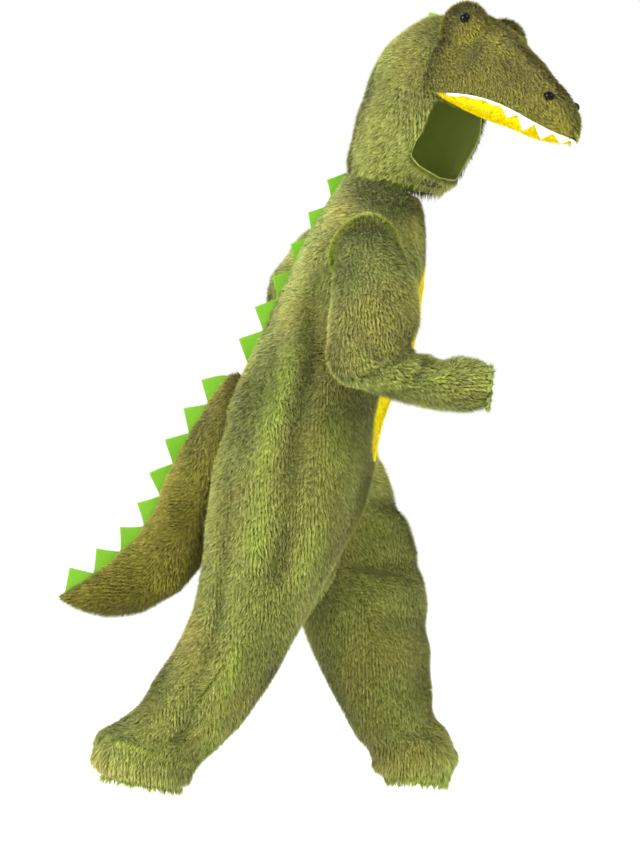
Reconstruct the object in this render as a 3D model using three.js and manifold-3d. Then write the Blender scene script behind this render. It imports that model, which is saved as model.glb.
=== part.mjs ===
// A child's crocodile costume as it is worn: a plush jumpsuit with a yellow belly, a stuffed tail and
// felt spikes, and a separate crocodile hood with a stuffed snout. Millimetres, +Z up. The suit's front
// faces -Y, its left half is +X, and the origin is the middle of its neck opening.

import * as THREE from "three";
import { mergeVertices } from "three/addons/utils/BufferGeometryUtils.js";
import Module from "manifold-3d";

const wasm = await Module();
wasm.setup();

// Driving dimensions
const PLUSH_WALL = 8; // backing and pile together, as far as the fur reaches
const CUFF_WALL = 5; // the same plush pressed together by elastic
const BELLY_WALL = 5; // short pile
const SEAM_GAP = 0.3;
const FELT = 2.4;
const FELT_ROOT = 6; // depth of a felt strip inside the seam
const ROOM_HEIGHT = 12; // how far the cutter of a strip's room stands out of the seam
const LEG_WAVES = 14; // gathers in one trouser cuff
const SLEEVE_WAVES = 12;
const ROUNDING = 1e-9;
const RIGHT = -1;
const LEFT = 1;

// Colours, roughness and metalness of the materials
const GREEN_PLUSH = { color: 0x8a9446, roughness: 0.95, metalness: 0 };
const YELLOW_PLUSH = { color: 0xe6cf14, roughness: 0.9, metalness: 0 };
const LIME_FELT = { color: 0x7fd026, roughness: 0.85, metalness: 0 };
const WHITE_FELT = { color: 0xe9ebe8, roughness: 0.85, metalness: 0 };
const BLACK_GLOSS = { color: 0x0c0b0c, roughness: 0.15, metalness: 0 };
const BLACK_TAPE = { color: 0x17181a, roughness: 0.9, metalness: 0 };

// Sections of the body. Each has its rearmost and foremost point, the distance of its middle from the
// plane between the two halves, and half its width. The torso serves both halves.
const SECTION = ["backY", "backZ", "frontY", "frontZ", "middle", "half"];
const TORSO = [
  [63, 37.7, -60, -3, 0, 62],
  [78, 8, -65, -19, 0, 102],
  [97, -20, -68, -46, 0, 138],
  [126, -70, -70, -107, 0, 142],
  [151, -121, -68, -165, 0, 141],
  [180, -179, -60, -226, 0, 140],
  [207, -238, -44, -286, 0, 146],
  [236, -299, -13, -350, 0, 156],
  [262, -357, 5, -406, 0, 166],
];
const RIGHT_LEG = [
  [277, -416, 20, -466, 25, 143],
  [289, -466, 37, -525, 50, 117],
  [294, -516, 57, -575, 68, 95],
  [297, -566, 84, -621, 78, 78],
  [301, -616, 114, -680, 82, 76],
  [314, -680, 156, -758, 84, 74],
  [344, -752, 194, -825, 85, 71],
  [376, -802, 226, -875, 85, 69],
  [406, -854, 252, -907, 85, 68],
  [445, -884, 277, -932, 85, 68],
  [478, -905, 301, -952, 85, 68],
  [485, -938, 324, -974, 85, 62],
  [459, -963, 344, -979, 85, 46],
  [460, -977, 351, -994, 85, 50],
];
const LEFT_LEG = [
  [252, -438, 7, -438, 25, 143],
  [228, -503, -7, -469, 50, 117],
  [204, -573, -24, -512, 68, 95],
  [178, -633, -45, -562, 78, 78],
  [159, -685, -62, -611, 82, 76],
  [140, -732, -73, -664, 84, 74],
  [121, -784, -81, -721, 85, 71],
  [93, -839, -84, -789, 85, 69],
  [67, -888, -83, -846, 85, 68],
  [45, -927, -90, -894, 85, 68],
  [26, -950, -113, -922, 85, 67],
  [14, -971, -123, -953, 85, 60],
  [-7, -984, -111, -979, 85, 44],
  [-19, -1000, -101, -1009, 85, 46],
];
const CROTCH = 12; // the section where each leg becomes a ring of its own
const CUFF = 20.4; // where the elastic begins to gather the leg
const HEM = 22;

// Heights of the mesh rows, counted in sections from the neck down
const UPPER_ROWS = [0, 0.6, 1.3, 2];
const ARMHOLE_ROWS = [2.35, 2.5, 2.8, 3.1, 3.2, 3.5, 3.9, 4.2, 4.35];
const BELLY_ROWS = [3.1, 3.2, 3.5, 3.9, 4.2, 4.35, 5, 5.8, 6.6, 7.4, 8.1, 8.6, 8.9, 9];
const LEG_ROWS = [10, 11, 11.6, 12, 12.6, 13.3, 14, 15, 16, 17, 18];
const CUFF_ROWS = [19, 19.8, CUFF, 21, HEM];
const BODY_ROWS = [...new Set([...UPPER_ROWS, ...ARMHOLE_ROWS, ...BELLY_ROWS, ...LEG_ROWS, ...CUFF_ROWS])];
// Each panel of the suit is pieced together from bands of cloth, one below the other
const BANDS = [
  { name: "chest", from: 0, to: 5 },
  { name: "waist", from: 5, to: 8.1 },
  { name: "hip", from: 8.1, to: 11.6 },
  { name: "knee", from: 11.6, to: 16 },
  { name: "ankle", from: 16, to: HEM },
];
const PANEL_COLUMNS = 6;
const CUFF_COLUMNS = 28;

// The armhole and the belly are ovals in the body's surface
const ARMHOLE = { top: 2.35, bottom: 4.35, halfAngle: 30 };
const BELLY = { top: 3.1, bottom: 9, halfWidth: 92 };

// Folds of the body: which half, then the section and the angle of each end (0 at the side seam, 90 at
// the front, -90 at the back), width across and height (troughs are negative)
const FOLD = ["side", "fromRow", "fromAngle", "toRow", "toAngle", "width", "height"];
const BODY_FOLDS = [
  [RIGHT, 4, -40, 6.5, -9, 24, -9],
  [RIGHT, 6.5, -9, 12.5, 16, 24, -10],
  [RIGHT, 6.3, -28, 12, -12, 26, 7],
  [RIGHT, 8, 26, 12.5, 38, 24, 5],
  [RIGHT, 10, -52, 13.5, -36, 22, -7],
  [RIGHT, 13.5, -36, 17.6, 12, 22, -8],
  [RIGHT, 14.6, 8, 18.2, 58, 22, 6],
  [RIGHT, 18.6, -60, 19, 60, 16, 5],
  [LEFT, 4.3, -48, 7.4, -16, 24, -8],
  [LEFT, 7.4, -16, 11.8, 8, 26, -9],
  [LEFT, 6.8, 20, 11, 34, 26, 6],
  [LEFT, 10.2, 128, 11.9, 70, 20, -8],
  [LEFT, 12.8, 150, 13.6, 70, 20, -7],
  [LEFT, 14.6, 165, 15.4, 80, 22, -6],
  [LEFT, 16.6, 60, 17.6, 150, 20, 5],
  [LEFT, 13, -60, 17, -20, 24, -7],
];
const ROW_SPACING = 56; // mean distance between two sections
const ANGLE_SPACING = 2; // mean distance for one degree round a section
const FOLD_FADE = 25; // folds die out this near the middle seams

// Sleeve rings from the armhole to the cuff, bent at the elbow. Each has its sideways place, its rear and
// front points, half its width across, and how far it leans over the shoulder in degrees.
const RING = ["x", "backY", "backZ", "frontY", "frontZ", "across", "lean"];
const RIGHT_SLEEVE = [
  [-160, 84, -106, -22, -110, 57, 82],
  [-182, 82, -132, -32, -124, 58, 55],
  [-203, 87, -172, -44, -152, 57, 28],
  [-214, 92, -212, -52, -190, 57, 8],
  [-219, 95, -246, -52, -224, 57, 0],
  [-225, 97, -281, -41, -255, 55, 0],
  [-226, 81, -315, -45, -270, 53, 0],
  [-224, 46, -331, -51, -275, 50, 0],
  [-221, 2, -347, -67, -279, 47, 0],
  [-218, -43, -357, -92, -288, 44, 0],
  [-215, -97, -368, -121, -281, 45, 0],
  [-213, -139, -367, -150, -287, 41, 0],
  [-212, -160, -356, -165, -306, 27, 0],
  [-212, -168, -359, -172, -304, 30, 0],
];
const LEFT_SLEEVE = [
  [162, 95, -26, 4, -122, 60, 78],
  [186, 137, -52, 38, -134, 58, 44],
  [210, 168, -90, 66, -140, 56, 18],
  [221, 195, -130, 86, -156, 54, 0],
  [225, 199, -176, 90, -171, 52, 0],
  [226, 168, -222, 80, -176, 49, 0],
  [224, 110, -240, 62, -168, 46, 0],
  [221, 54, -226, 22, -148, 44, 0],
  [218, -4, -200, -24, -117, 42, 0],
  [216, -44, -162, -50, -107, 27, 0],
  [216, -53, -163, -60, -104, 30, 0],
];
const LEFT_TWIST = 47; // the left sleeve is drawn back, which turns it in its armhole, in degrees
const RIGHT_ELBOW = 6.5; // ring of the elbow's seam
const LEFT_ELBOW = 5.5;
const SLEEVE_CUFF_COLUMNS = 36;

// Folds of the sleeves: ring and angle of each end (0 at the front, 90 outside, 180 behind)
const RIGHT_SLEEVE_FOLDS = [
  [RIGHT, 3.5, 120, 6, 60, 16, -5],
  [RIGHT, 6, 35, 6.6, 120, 14, -7],
  [RIGHT, 6.6, 150, 9.5, 70, 15, 6],
  [RIGHT, 7.8, 30, 8.4, 100, 12, -6],
  [RIGHT, 9.2, 140, 12, 110, 12, -5],
  [RIGHT, 4, 250, 6.5, 300, 16, -5],
];
const LEFT_SLEEVE_FOLDS = [
  [LEFT, 1.6, 130, 4, 80, 16, -5],
  [LEFT, 3.6, 30, 4.4, 120, 14, -7],
  [LEFT, 4.6, 150, 7.5, 80, 15, 6],
  [LEFT, 5.8, 30, 6.4, 100, 12, -5],
];
const RING_SPACING = 38;
const RING_ANGLE_SPACING = 1;

// Tail sections: a point on the ridge, the point opposite it, and half the width
const TAIL_SECTION = ["ridgeY", "ridgeZ", "underY", "underZ", "half"];
const TAIL = [
  [205, -318, 262, -540, 44],
  [238, -303, 288, -548, 56],
  [267, -309, 300, -582, 62],
  [298, -357, 305, -618, 63],
  [330, -406, 314, -638, 61],
  [362, -468, 332, -658, 57],
  [384, -524, 353, -677, 51],
  [411, -570, 384, -694, 43],
  [452, -612, 420, -711, 34],
  [496, -646, 471, -717, 24],
  [532, -670, 515, -706, 13],
  [549, -681, 545, -688, 3],
];
const TAIL_ROWS = [0, 1, 2, 3, 4, 5, 6, 7, 8, 9, 9.6, 10.3, 11];
const TAIL_COLUMNS = 9;

// Felt spikes: distance along the seam to the middle of each, its width at the fur and its height
const SPIKE = ["along", "base", "height"];
const BACK_SPIKES = [
  [26, 50, 24],
  [91, 46, 21],
  [151, 46, 22],
  [215, 52, 25],
  [273, 58, 30],
  [334, 60, 32],
];
const TAIL_SPIKE = { first: 57, pitch: 58.8, base: 57, height: 31, count: 8 };
const HOOD_SPIKE = { first: 45, pitch: 52, base: 46, height: 28, count: 6 };

// The hood has its own frame, turned to the costume's right, nodding and tilted
const HOOD_PLACE = new THREE.Vector3(-15, -59, 139);
const HOOD_TURN = { nod: 17, tilt: 10, turn: -44 };

// Hood sections in that frame: rear and front points (forward, up) and half the width
const HOOD_SECTION = ["backF", "backU", "frontF", "frontU", "half"];
const HOOD = [
  [-76, -138, 80, -116, 74],
  [-84, -112, 99, -98, 79],
  [-88, -75, 116, -75, 84],
  [-92, -35, 126, -30, 88],
  [-92, 5, 124, 5, 90],
  [-90, 40, 108, 36, 90],
  [-82, 75, 98, 70, 87],
  [-62, 108, 90, 104, 79],
  [-39, 140, 80, 134, 64],
  [-13, 162, 66, 156, 42],
  [30, 174, 30, 174, 0],
];
const FACE_ROWS = [1.06, 1.25, 1.8, 2.6, 3.4, 4.1, 4.5, 4.75, 4.85];
const HOOD_ROWS = [0, 0.6, ...FACE_ROWS, 5.4, 6.2, 7, 7.8, 8.5, 9.1, 9.6, 10];
const HOOD_COLUMNS = 8;
const HOOD_SQUARENESS = 2.6;
const FACE = { bottom: 1.06, top: 4.85, halfWidth: 76, chinSquareness: 3, browSquareness: 7 };

// Snout sections: forward place, half the width, height of the top, height of the lip, palate's depth
const SNOUT_SECTION = ["forward", "half", "top", "lip", "palate"];
const SNOUT = [
  [44, 82, 180, 34, 4],
  [75, 87, 189, 34, 5],
  [105, 86, 187, 35, 9],
  [140, 83, 174, 42, 20],
  [180, 77, 156, 47, 27],
  [219, 69, 136, 47, 29],
  [255, 60, 119, 42, 28],
  [285, 50, 103, 36, 20],
  [308, 40, 84, 32, 13],
  [324, 27, 66, 30, 8],
  [333, 10, 46, 30, 4],
];
const SNOUT_ROWS = [0, 0.6, 1.2, 1.8, 2.4, 3, 3.6, 4.2, 4.8, 5.4, 6, 6.6, 7.2, 7.8, 8.4, 9, 9.5, 10];
const SNOUT_COLUMNS = 16;
const SNOUT_SQUARENESS = 2.3;
const LIP_GAP = 0.6; // the palate and the teeth start this far below the snout's edge
const TEETH = { count: 14, from: 2.5, band: 2.5, corner: 2, longest: 19, tip: 9, small: 0.3, full: 0.66 };

const EYE_BUMP = { aside: 52, forward: 84, up: 151, radii: [36, 44, 46] };
const EYE = { aside: 80, forward: 101, up: 164, radii: [7, 9, 9] };
const NOSTRIL = { aside: 35.5, forward: 288, up: 82.5, radii: [7, 10, 8] };
const CHIN_TAB = { rows: [0.16, 0.41, 0.66], halfAngle: 15, wall: 3 };

// Interpolation in the tables

function smooth(t) {
  const clamped = Math.min(1, Math.max(0, t));
  return clamped * clamped * (3 - 2 * clamped);
}

// A row of a table between its rows, by a Catmull-Rom spline through each column
function rowAt(table, columns, place) {
  const last = table.length - 1;
  const low = Math.min(last - 1, Math.max(0, Math.floor(place)));
  const t = place - low;
  const row = {};
  columns.forEach((name, column) => {
    const [a, b, c, d] = [low - 1, low, low + 1, low + 2].map(
      (i) => table[Math.min(last, Math.max(0, i))][column],
    );
    row[name] = b + 0.5 * t * (c - a + t * (2 * a - 5 * b + 4 * c - d + t * (3 * (b - c) + d - a)));
  });
  return row;
}

// Height of all folds at a place, each a soft ridge or trough along its line
function foldHeight(folds, side, row, angle, rowSpacing, angleSpacing) {
  let height = 0;
  for (const values of folds) {
    const fold = Object.fromEntries(FOLD.map((name, i) => [name, values[i]]));
    if (fold.side !== side) continue;
    const turn = (degrees) => THREE.MathUtils.euclideanModulo(degrees + 180, 360) - 180;
    const from = new THREE.Vector2(fold.fromRow * rowSpacing, 0);
    const to = new THREE.Vector2(fold.toRow * rowSpacing, turn(fold.toAngle - fold.fromAngle) * angleSpacing);
    const here = new THREE.Vector2(row * rowSpacing, turn(angle - fold.fromAngle) * angleSpacing);
    const line = to.sub(from);
    const along = here.clone().sub(from).dot(line) / line.lengthSq();
    const nearest = from.addScaledVector(line, Math.min(1, Math.max(0, along)));
    const distance = here.distanceTo(nearest) / fold.width;
    height += fold.height * Math.exp(-distance * distance);
  }
  return height;
}

// Solids from points

// Triangles between two rows of points, taken in order of their places along the row
function between(lower, upper, lowerAt, upperAt, triangles) {
  let i = 0;
  let j = 0;
  while (i < lower.length - 1 || j < upper.length - 1) {
    const lowerIsNext = lowerAt[i + 1] <= upperAt[j + 1] + ROUNDING;
    const stepLower = j === upper.length - 1 || (i < lower.length - 1 && lowerIsNext);
    if (stepLower) {
      triangles.push([lower[i], lower[i + 1], upper[j]]);
      i += 1;
    } else {
      triangles.push([lower[i], upper[j + 1], upper[j]]);
      j += 1;
    }
  }
}

function geometryOf(triangles) {
  const positions = triangles.flatMap((corners) => corners.flatMap((p) => [p.x, p.y, p.z]));
  const loose = new THREE.BufferGeometry();
  loose.setAttribute("position", new THREE.Float32BufferAttribute(positions, 3));
  const merged = mergeVertices(loose, 1e-3);
  const index = Array.from(merged.index.array);
  const kept = [];
  for (let i = 0; i < index.length; i += 3) {
    const [a, b, c] = index.slice(i, i + 3);
    if (a !== b && b !== c && c !== a) kept.push(a, b, c);
  }
  merged.setIndex(kept);
  if (volumeOf(merged) < 0) {
    for (let i = 0; i < kept.length; i += 3) [kept[i + 1], kept[i + 2]] = [kept[i + 2], kept[i + 1]];
    merged.setIndex(kept);
  }
  merged.computeVertexNormals();
  return merged;
}

function volumeOf(geometry) {
  const at = geometry.attributes.position;
  const index = geometry.index.array;
  let volume = 0;
  for (let i = 0; i < index.length; i += 3) {
    const [a, b, c] = [0, 1, 2].map((k) => new THREE.Vector3().fromBufferAttribute(at, index[i + k]));
    volume += a.dot(b.cross(c)) / 6;
  }
  return volume;
}

// A wall: rows of outer and inner points with their places along the row, open or closed into rings
function wallGeometry(rows, closed) {
  const triangles = [];
  const loop = (points) => (closed ? [...points, points[0]] : points);
  rows.forEach((row, i) => {
    if (i === 0) return;
    const before = rows[i - 1];
    between(loop(before.outer), loop(row.outer), before.at, row.at, triangles);
    const inside = [];
    between(loop(before.inner), loop(row.inner), before.at, row.at, inside);
    triangles.push(...inside.map(([a, b, c]) => [a, c, b]));
    if (closed) return;
    for (const end of [0, -1]) {
      const [o0, n0] = [before.outer.at(end), before.inner.at(end)];
      const [o1, n1] = [row.outer.at(end), row.inner.at(end)];
      const faces = [[o0, o1, n1], [o0, n1, n0]];
      triangles.push(...(end === 0 ? faces : faces.map(([a, b, c]) => [a, c, b])));
    }
  });
  for (const end of [0, -1]) {
    const row = rows.at(end);
    const outer = loop(row.outer);
    const inner = loop(row.inner);
    for (let k = 1; k < outer.length; k += 1) {
      const faces = [[outer[k - 1], inner[k - 1], inner[k]], [outer[k - 1], inner[k], outer[k]]];
      triangles.push(...(end === 0 ? faces : faces.map(([a, b, c]) => [a, c, b])));
    }
  }
  return geometryOf(triangles);
}

// A solid through closed sections of equal counts, its two ends shut by fans
function loftGeometry(sections) {
  const triangles = [];
  sections.forEach((points, i) => {
    if (i === 0) return;
    const before = sections[i - 1];
    points.forEach((point, k) => {
      const next = (k + 1) % points.length;
      triangles.push([before[k], before[next], point], [before[next], points[next], point]);
    });
  });
  for (const end of [0, -1]) {
    const points = sections.at(end);
    const middle = points.reduce((sum, p) => sum.add(p), new THREE.Vector3()).divideScalar(points.length);
    points.forEach((point, k) => {
      const next = points[(k + 1) % points.length];
      triangles.push(end === 0 ? [middle, next, point] : [middle, point, next]);
    });
  }
  return geometryOf(triangles);
}

function solidOf(geometry) {
  const plain = new THREE.BufferGeometry();
  plain.setAttribute("position", geometry.getAttribute("position"));
  plain.setIndex(geometry.index);
  const merged = mergeVertices(plain, 1e-3);
  return new wasm.Manifold(
    new wasm.Mesh({
      numProp: 3,
      vertProperties: new Float32Array(merged.attributes.position.array),
      triVerts: new Uint32Array(merged.index.array),
    }),
  );
}

// One geometry less others; where a cut leaves crumbs, the largest body stays
function cut(geometry, ...cutters) {
  const left = cutters.reduce((solid, cutter) => solid.subtract(solidOf(cutter)), solidOf(geometry));
  const bodies = left.decompose().sort((a, b) => b.volume() - a.volume());
  const mesh = bodies[0].getMesh();
  const result = new THREE.BufferGeometry();
  result.setAttribute("position", new THREE.Float32BufferAttribute(mesh.vertProperties, 3));
  result.setIndex(Array.from(mesh.triVerts));
  result.computeVertexNormals();
  return result;
}

function ellipsoid(centre, radii, grow = 0) {
  const ball = new THREE.SphereGeometry(1, 12, 8);
  ball.deleteAttribute("normal");
  ball.deleteAttribute("uv");
  ball.scale(radii[0] + grow, radii[1] + grow, radii[2] + grow);
  ball.translate(centre.x, centre.y, centre.z);
  return mergeVertices(ball, 1e-3);
}

// Moves both edges of an open wall into the piece by half a seam gap
function insetEdges(rows) {
  const shifts = rows.map((row, i) => {
    const before = rows[Math.max(0, i - 1)];
    const after = rows[Math.min(rows.length - 1, i + 1)];
    return [0, -1].map((end) => {
      const edge = row.outer.at(end);
      if (row.outer.length === 1) {
        const inside = (i === 0 ? after : before).outer;
        const middle = inside.reduce((sum, p) => sum.add(p), new THREE.Vector3()).divideScalar(inside.length);
        return middle.sub(edge).setLength(SEAM_GAP / 4);
      }
      const along = after.outer.at(end).clone().sub(before.outer.at(end)).normalize();
      const inward = row.outer.at(end === 0 ? 1 : -2).clone().sub(edge);
      inward.addScaledVector(along, -inward.dot(along));
      return inward.setLength(SEAM_GAP / 2);
    });
  });
  rows.forEach((row, i) => {
    [0, -1].forEach((end, which) => {
      row.outer.at(end).add(shifts[i][which]);
      row.inner.at(end).add(shifts[i][which]);
    });
  });
  return rows;
}

// The body's surface

const BODY = { [RIGHT]: [...TORSO, ...RIGHT_LEG], [LEFT]: [...TORSO, ...LEFT_LEG] };

function bodySection(side, row) {
  const section = rowAt(BODY[side], SECTION, row);
  section.middle = Math.max(0, section.middle);
  return section;
}

// Place on one section: sine -1 at the rearmost point and 1 at the foremost
function onChord(section, sine) {
  return new THREE.Vector2(
    (section.backY + section.frontY) / 2 + ((section.frontY - section.backY) / 2) * sine,
    (section.backZ + section.frontZ) / 2 + ((section.frontZ - section.backZ) / 2) * sine,
  );
}

// The two halves share the middle plane down to the crotch, and each leg leaves it sideways and downwards
function bodyPoint(side, row, degrees) {
  const angle = THREE.MathUtils.degToRad(degrees);
  const own = bodySection(side, row);
  const other = bodySection(-side, row);
  const across = own.middle + own.half * Math.cos(angle);
  const sine = Math.sin(angle);
  const shared = onChord(own, sine).add(onChord(other, sine)).multiplyScalar(0.5);
  const share = Math.max(smooth(across / 70), smooth((row - CROTCH) / 2));
  const place = shared.lerp(onChord(own, sine), share);
  return new THREE.Vector3(side * across, place.x, place.y);
}

function bodyNormal(side, row, degrees) {
  const step = 0.04;
  const top = Math.max(0, row - step);
  const bottom = Math.min(HEM, row + step);
  const down = bodyPoint(side, bottom, degrees).sub(bodyPoint(side, top, degrees));
  const round = bodyPoint(side, row, degrees + 1).sub(bodyPoint(side, row, degrees - 1));
  const normal = down.cross(round).normalize();
  const section = bodySection(side, row);
  const centre = onChord(section, 0);
  const outward = bodyPoint(side, row, degrees).sub(
    new THREE.Vector3(side * section.middle, centre.x, centre.y),
  );
  return normal.dot(outward) < 0 ? normal.negate() : normal;
}

function bodyRelief(side, row, degrees) {
  const section = bodySection(side, row);
  const across = section.middle + section.half * Math.cos(THREE.MathUtils.degToRad(degrees));
  const folds = foldHeight(BODY_FOLDS, side, row, degrees, ROW_SPACING, ANGLE_SPACING);
  const gathered = smooth((row - CUFF) / (HEM - CUFF));
  const waves = 5 * gathered * Math.cos(LEG_WAVES * THREE.MathUtils.degToRad(degrees));
  return { folds: folds * smooth(across / FOLD_FADE), waves };
}

// Outer and inner point of the suit's wall
function suitPoint(side, row, degrees, wall = PLUSH_WALL) {
  const base = bodyPoint(side, row, degrees);
  const normal = bodyNormal(side, row, degrees);
  const relief = bodyRelief(side, row, degrees);
  const thickness = row > CUFF - 0.5 ? CUFF_WALL : wall;
  return {
    outer: base.clone().addScaledVector(normal, relief.folds + relief.waves),
    inner: base.clone().addScaledVector(normal, 0.7 * relief.folds + 0.8 * relief.waves - thickness),
  };
}

// Angle of the middle seam, or of the inseam below the crotch
function innerAngle(side, row) {
  if (row >= CROTCH) return 180;
  const section = bodySection(side, row);
  return THREE.MathUtils.radToDeg(Math.acos(Math.max(-1, -section.middle / section.half)));
}

function armholeAngle(row) {
  const middle = (ARMHOLE.top + ARMHOLE.bottom) / 2;
  const reach = (row - middle) / ((ARMHOLE.bottom - ARMHOLE.top) / 2);
  return Math.abs(reach) >= 1 ? 0 : ARMHOLE.halfAngle * Math.sqrt(1 - reach * reach);
}

// Angle of the belly's edge
function bellyAngle(side, row) {
  const middle = (BELLY.top + BELLY.bottom) / 2;
  const reach = (row - middle) / ((BELLY.bottom - BELLY.top) / 2);
  if (Math.abs(reach) >= 1 - ROUNDING) return innerAngle(side, row);
  const width = BELLY.halfWidth * Math.sqrt(1 - reach * reach);
  const section = bodySection(side, row);
  return THREE.MathUtils.radToDeg(Math.acos((width - section.middle) / section.half));
}

function spread(count, from, to, make) {
  const at = Array.from({ length: count + 1 }, (_, k) => k / count);
  const points = at.map((t) => make(from + (to - from) * t));
  return { at, outer: points.map((p) => p.outer), inner: points.map((p) => p.inner) };
}

// Rows of one band, which ends half a seam gap short of its neighbours
function bandRows({ from, to }) {
  const inset = SEAM_GAP / 2 / ROW_SPACING;
  return BODY_ROWS.filter((row) => row >= from && row <= to).map((row) => {
    if (row === from && from > 0) return row + inset;
    return row === to && to < HEM ? row - inset : row;
  });
}

function suitFront(side, band) {
  const rows = bandRows(band).map((row) => {
    const count = row >= CUFF ? CUFF_COLUMNS : PANEL_COLUMNS;
    return spread(count, bellyAngle(side, row), armholeAngle(row), (angle) => suitPoint(side, row, angle));
  });
  return wallGeometry(insetEdges(rows), false);
}

function suitBack(side, band) {
  const rows = bandRows(band).map((row) => {
    const count = row >= CUFF ? CUFF_COLUMNS : PANEL_COLUMNS;
    return spread(count, -armholeAngle(row), -innerAngle(side, row), (angle) => suitPoint(side, row, angle));
  });
  return cut(wallGeometry(insetEdges(rows), false), backStripRoom);
}

function bellyPanel() {
  const half = PANEL_COLUMNS - 2;
  const rows = BELLY_ROWS.map((row) => {
    const edge = bellyAngle(RIGHT, row);
    const middle = innerAngle(RIGHT, row);
    if (middle - edge < 1e-6) {
      const tip = suitPoint(RIGHT, row, middle, BELLY_WALL);
      return { at: [0], outer: [tip.outer], inner: [tip.inner] };
    }
    const right = spread(half, edge, middle, (angle) => suitPoint(RIGHT, row, angle, BELLY_WALL));
    const left = spread(half, middle, edge, (angle) => suitPoint(LEFT, row, angle, BELLY_WALL));
    return {
      at: Array.from({ length: 2 * half + 1 }, (_, k) => k / (2 * half)),
      outer: [...right.outer, ...left.outer.slice(1)],
      inner: [...right.inner, ...left.inner.slice(1)],
    };
  });
  return wallGeometry(insetEdges(rows), false);
}

// Sleeves

// The armhole's edge as a ring of places on the body, from the top down the front and up the back
function armholeRing(side) {
  const front = ARMHOLE_ROWS.map((row) => ({ row, angle: armholeAngle(row) }));
  const back = ARMHOLE_ROWS.slice(1, -1).reverse().map((row) => ({ row, angle: -armholeAngle(row) }));
  return [...front, ...back].map(({ row, angle }) => {
    const middle = (ARMHOLE.top + ARMHOLE.bottom) / 2;
    const rise = (middle - row) / ((ARMHOLE.bottom - ARMHOLE.top) / 2);
    const forward = angle / ARMHOLE.halfAngle;
    return { ...suitPoint(side, row, angle), turn: Math.atan2(rise, forward) };
  });
}

// The upper and the lower part of a sleeve, joined by a seam round the elbow
function sleeve(side, table, folds, twist, elbow) {
  const armhole = armholeRing(side);
  const middle = new THREE.Vector3();
  for (const p of armhole) middle.addScaledVector(p.outer, 1 / armhole.length);
  const turns = armhole.map((p) => p.turn);
  const fullTurn = 2 * Math.PI;
  const places = turns.map((turn) => THREE.MathUtils.euclideanModulo(turns[0] - turn, fullTurn) / fullTurn);
  const cuffPlaces = Array.from({ length: SLEEVE_CUFF_COLUMNS }, (_, k) => k / SLEEVE_CUFF_COLUMNS);
  const ringPoint = (place, turn) => {
    const ring = rowAt(table, RING, place);
    const back = new THREE.Vector3(ring.x, ring.backY, ring.backZ);
    const front = new THREE.Vector3(ring.x, ring.frontY, ring.frontZ);
    const forward = front.clone().sub(back).multiplyScalar(0.5);
    const unit = forward.clone().normalize();
    const rise = new THREE.Vector3(0, unit.z, -unit.y);
    const lean = THREE.MathUtils.degToRad(ring.lean);
    const outward = new THREE.Vector3(side * Math.cos(lean), 0, 0).addScaledVector(rise, Math.sin(lean));
    return back.add(front).multiplyScalar(0.5)
      .addScaledVector(forward, Math.cos(turn))
      .addScaledVector(outward, ring.across * Math.sin(turn));
  };
  const offset = THREE.MathUtils.degToRad(twist);
  const last = table.length - 1;
  const first = armhole.map((p) => {
    const inward = middle.clone().sub(p.outer).normalize();
    return {
      outer: p.outer.clone().addScaledVector(inward, SEAM_GAP),
      inner: p.outer.clone().addScaledVector(inward, SEAM_GAP + PLUSH_WALL),
    };
  });
  const start = { at: [...places, 1], outer: first.map((p) => p.outer), inner: first.map((p) => p.inner) };
  const ringAt = (place) => {
    const gathered = place > last - 1.6;
    const at = gathered ? cuffPlaces : places;
    const points = at.map((p) => {
      const turn = turns[0] - p * fullTurn + offset;
      const base = ringPoint(place, turn);
      const behind = ringPoint(Math.max(0, place - 0.05), turn);
      const along = ringPoint(Math.min(last, place + 0.05), turn).sub(behind);
      const round = ringPoint(place, turn + 0.02).sub(ringPoint(place, turn - 0.02));
      const normal = along.cross(round).normalize();
      const outward = base.clone().sub(ringPoint(place, turn + Math.PI));
      if (normal.dot(outward) < 0) normal.negate();
      const degrees = THREE.MathUtils.radToDeg(turn);
      const relief = foldHeight(folds, side, place, degrees, RING_SPACING, RING_ANGLE_SPACING);
      const waves = gathered ? 3 * Math.cos(SLEEVE_WAVES * turn) * smooth((place - last + 2) / 1.5) : 0;
      const wall = THREE.MathUtils.lerp(PLUSH_WALL, CUFF_WALL, smooth((place - last + 3) / 2));
      return {
        outer: base.clone().addScaledVector(normal, relief + waves),
        inner: base.clone().addScaledVector(normal, 0.7 * relief + 0.8 * waves - wall),
      };
    });
    return { at: [...at, 1], outer: points.map((p) => p.outer), inner: points.map((p) => p.inner) };
  };
  const rings = [];
  for (let place = 0; place <= last; place += place < last - 2 ? 1 : 0.5) rings.push(place);
  const inset = SEAM_GAP / RING_SPACING;
  const upper = [...rings.filter((place) => place < elbow), elbow - inset].map(ringAt);
  const lower = [elbow + inset, ...rings.filter((place) => place > elbow)].map(ringAt);
  return [wallGeometry([start, ...upper], true), wallGeometry(lower, true)];
}

// Felt strips

// A flat plate of felt in the plane between the halves, from its outline (distance back, height)
function plate(outline, thickness) {
  const contour = outline.map(([y, z]) => new THREE.Vector2(y, z));
  const faces = THREE.ShapeUtils.triangulateShape(contour, []);
  const corner = (k, x) => new THREE.Vector3(x, contour[k].x, contour[k].y);
  const [near, far] = [-thickness / 2, thickness / 2];
  const triangles = faces.flatMap(([a, b, c]) => [
    [corner(a, near), corner(b, near), corner(c, near)],
    [corner(a, far), corner(c, far), corner(b, far)],
  ]);
  const turn = THREE.ShapeUtils.isClockWise(contour) ? -1 : 1;
  contour.forEach((_, k) => {
    const next = (k + 1) % contour.length;
    const faces = [
      [corner(k, near), corner(k, far), corner(next, far)],
      [corner(k, near), corner(next, far), corner(next, near)],
    ];
    triangles.push(...(turn > 0 ? faces : faces.map(([a, b, c]) => [a, c, b])));
  });
  return geometryOf(triangles);
}

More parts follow.
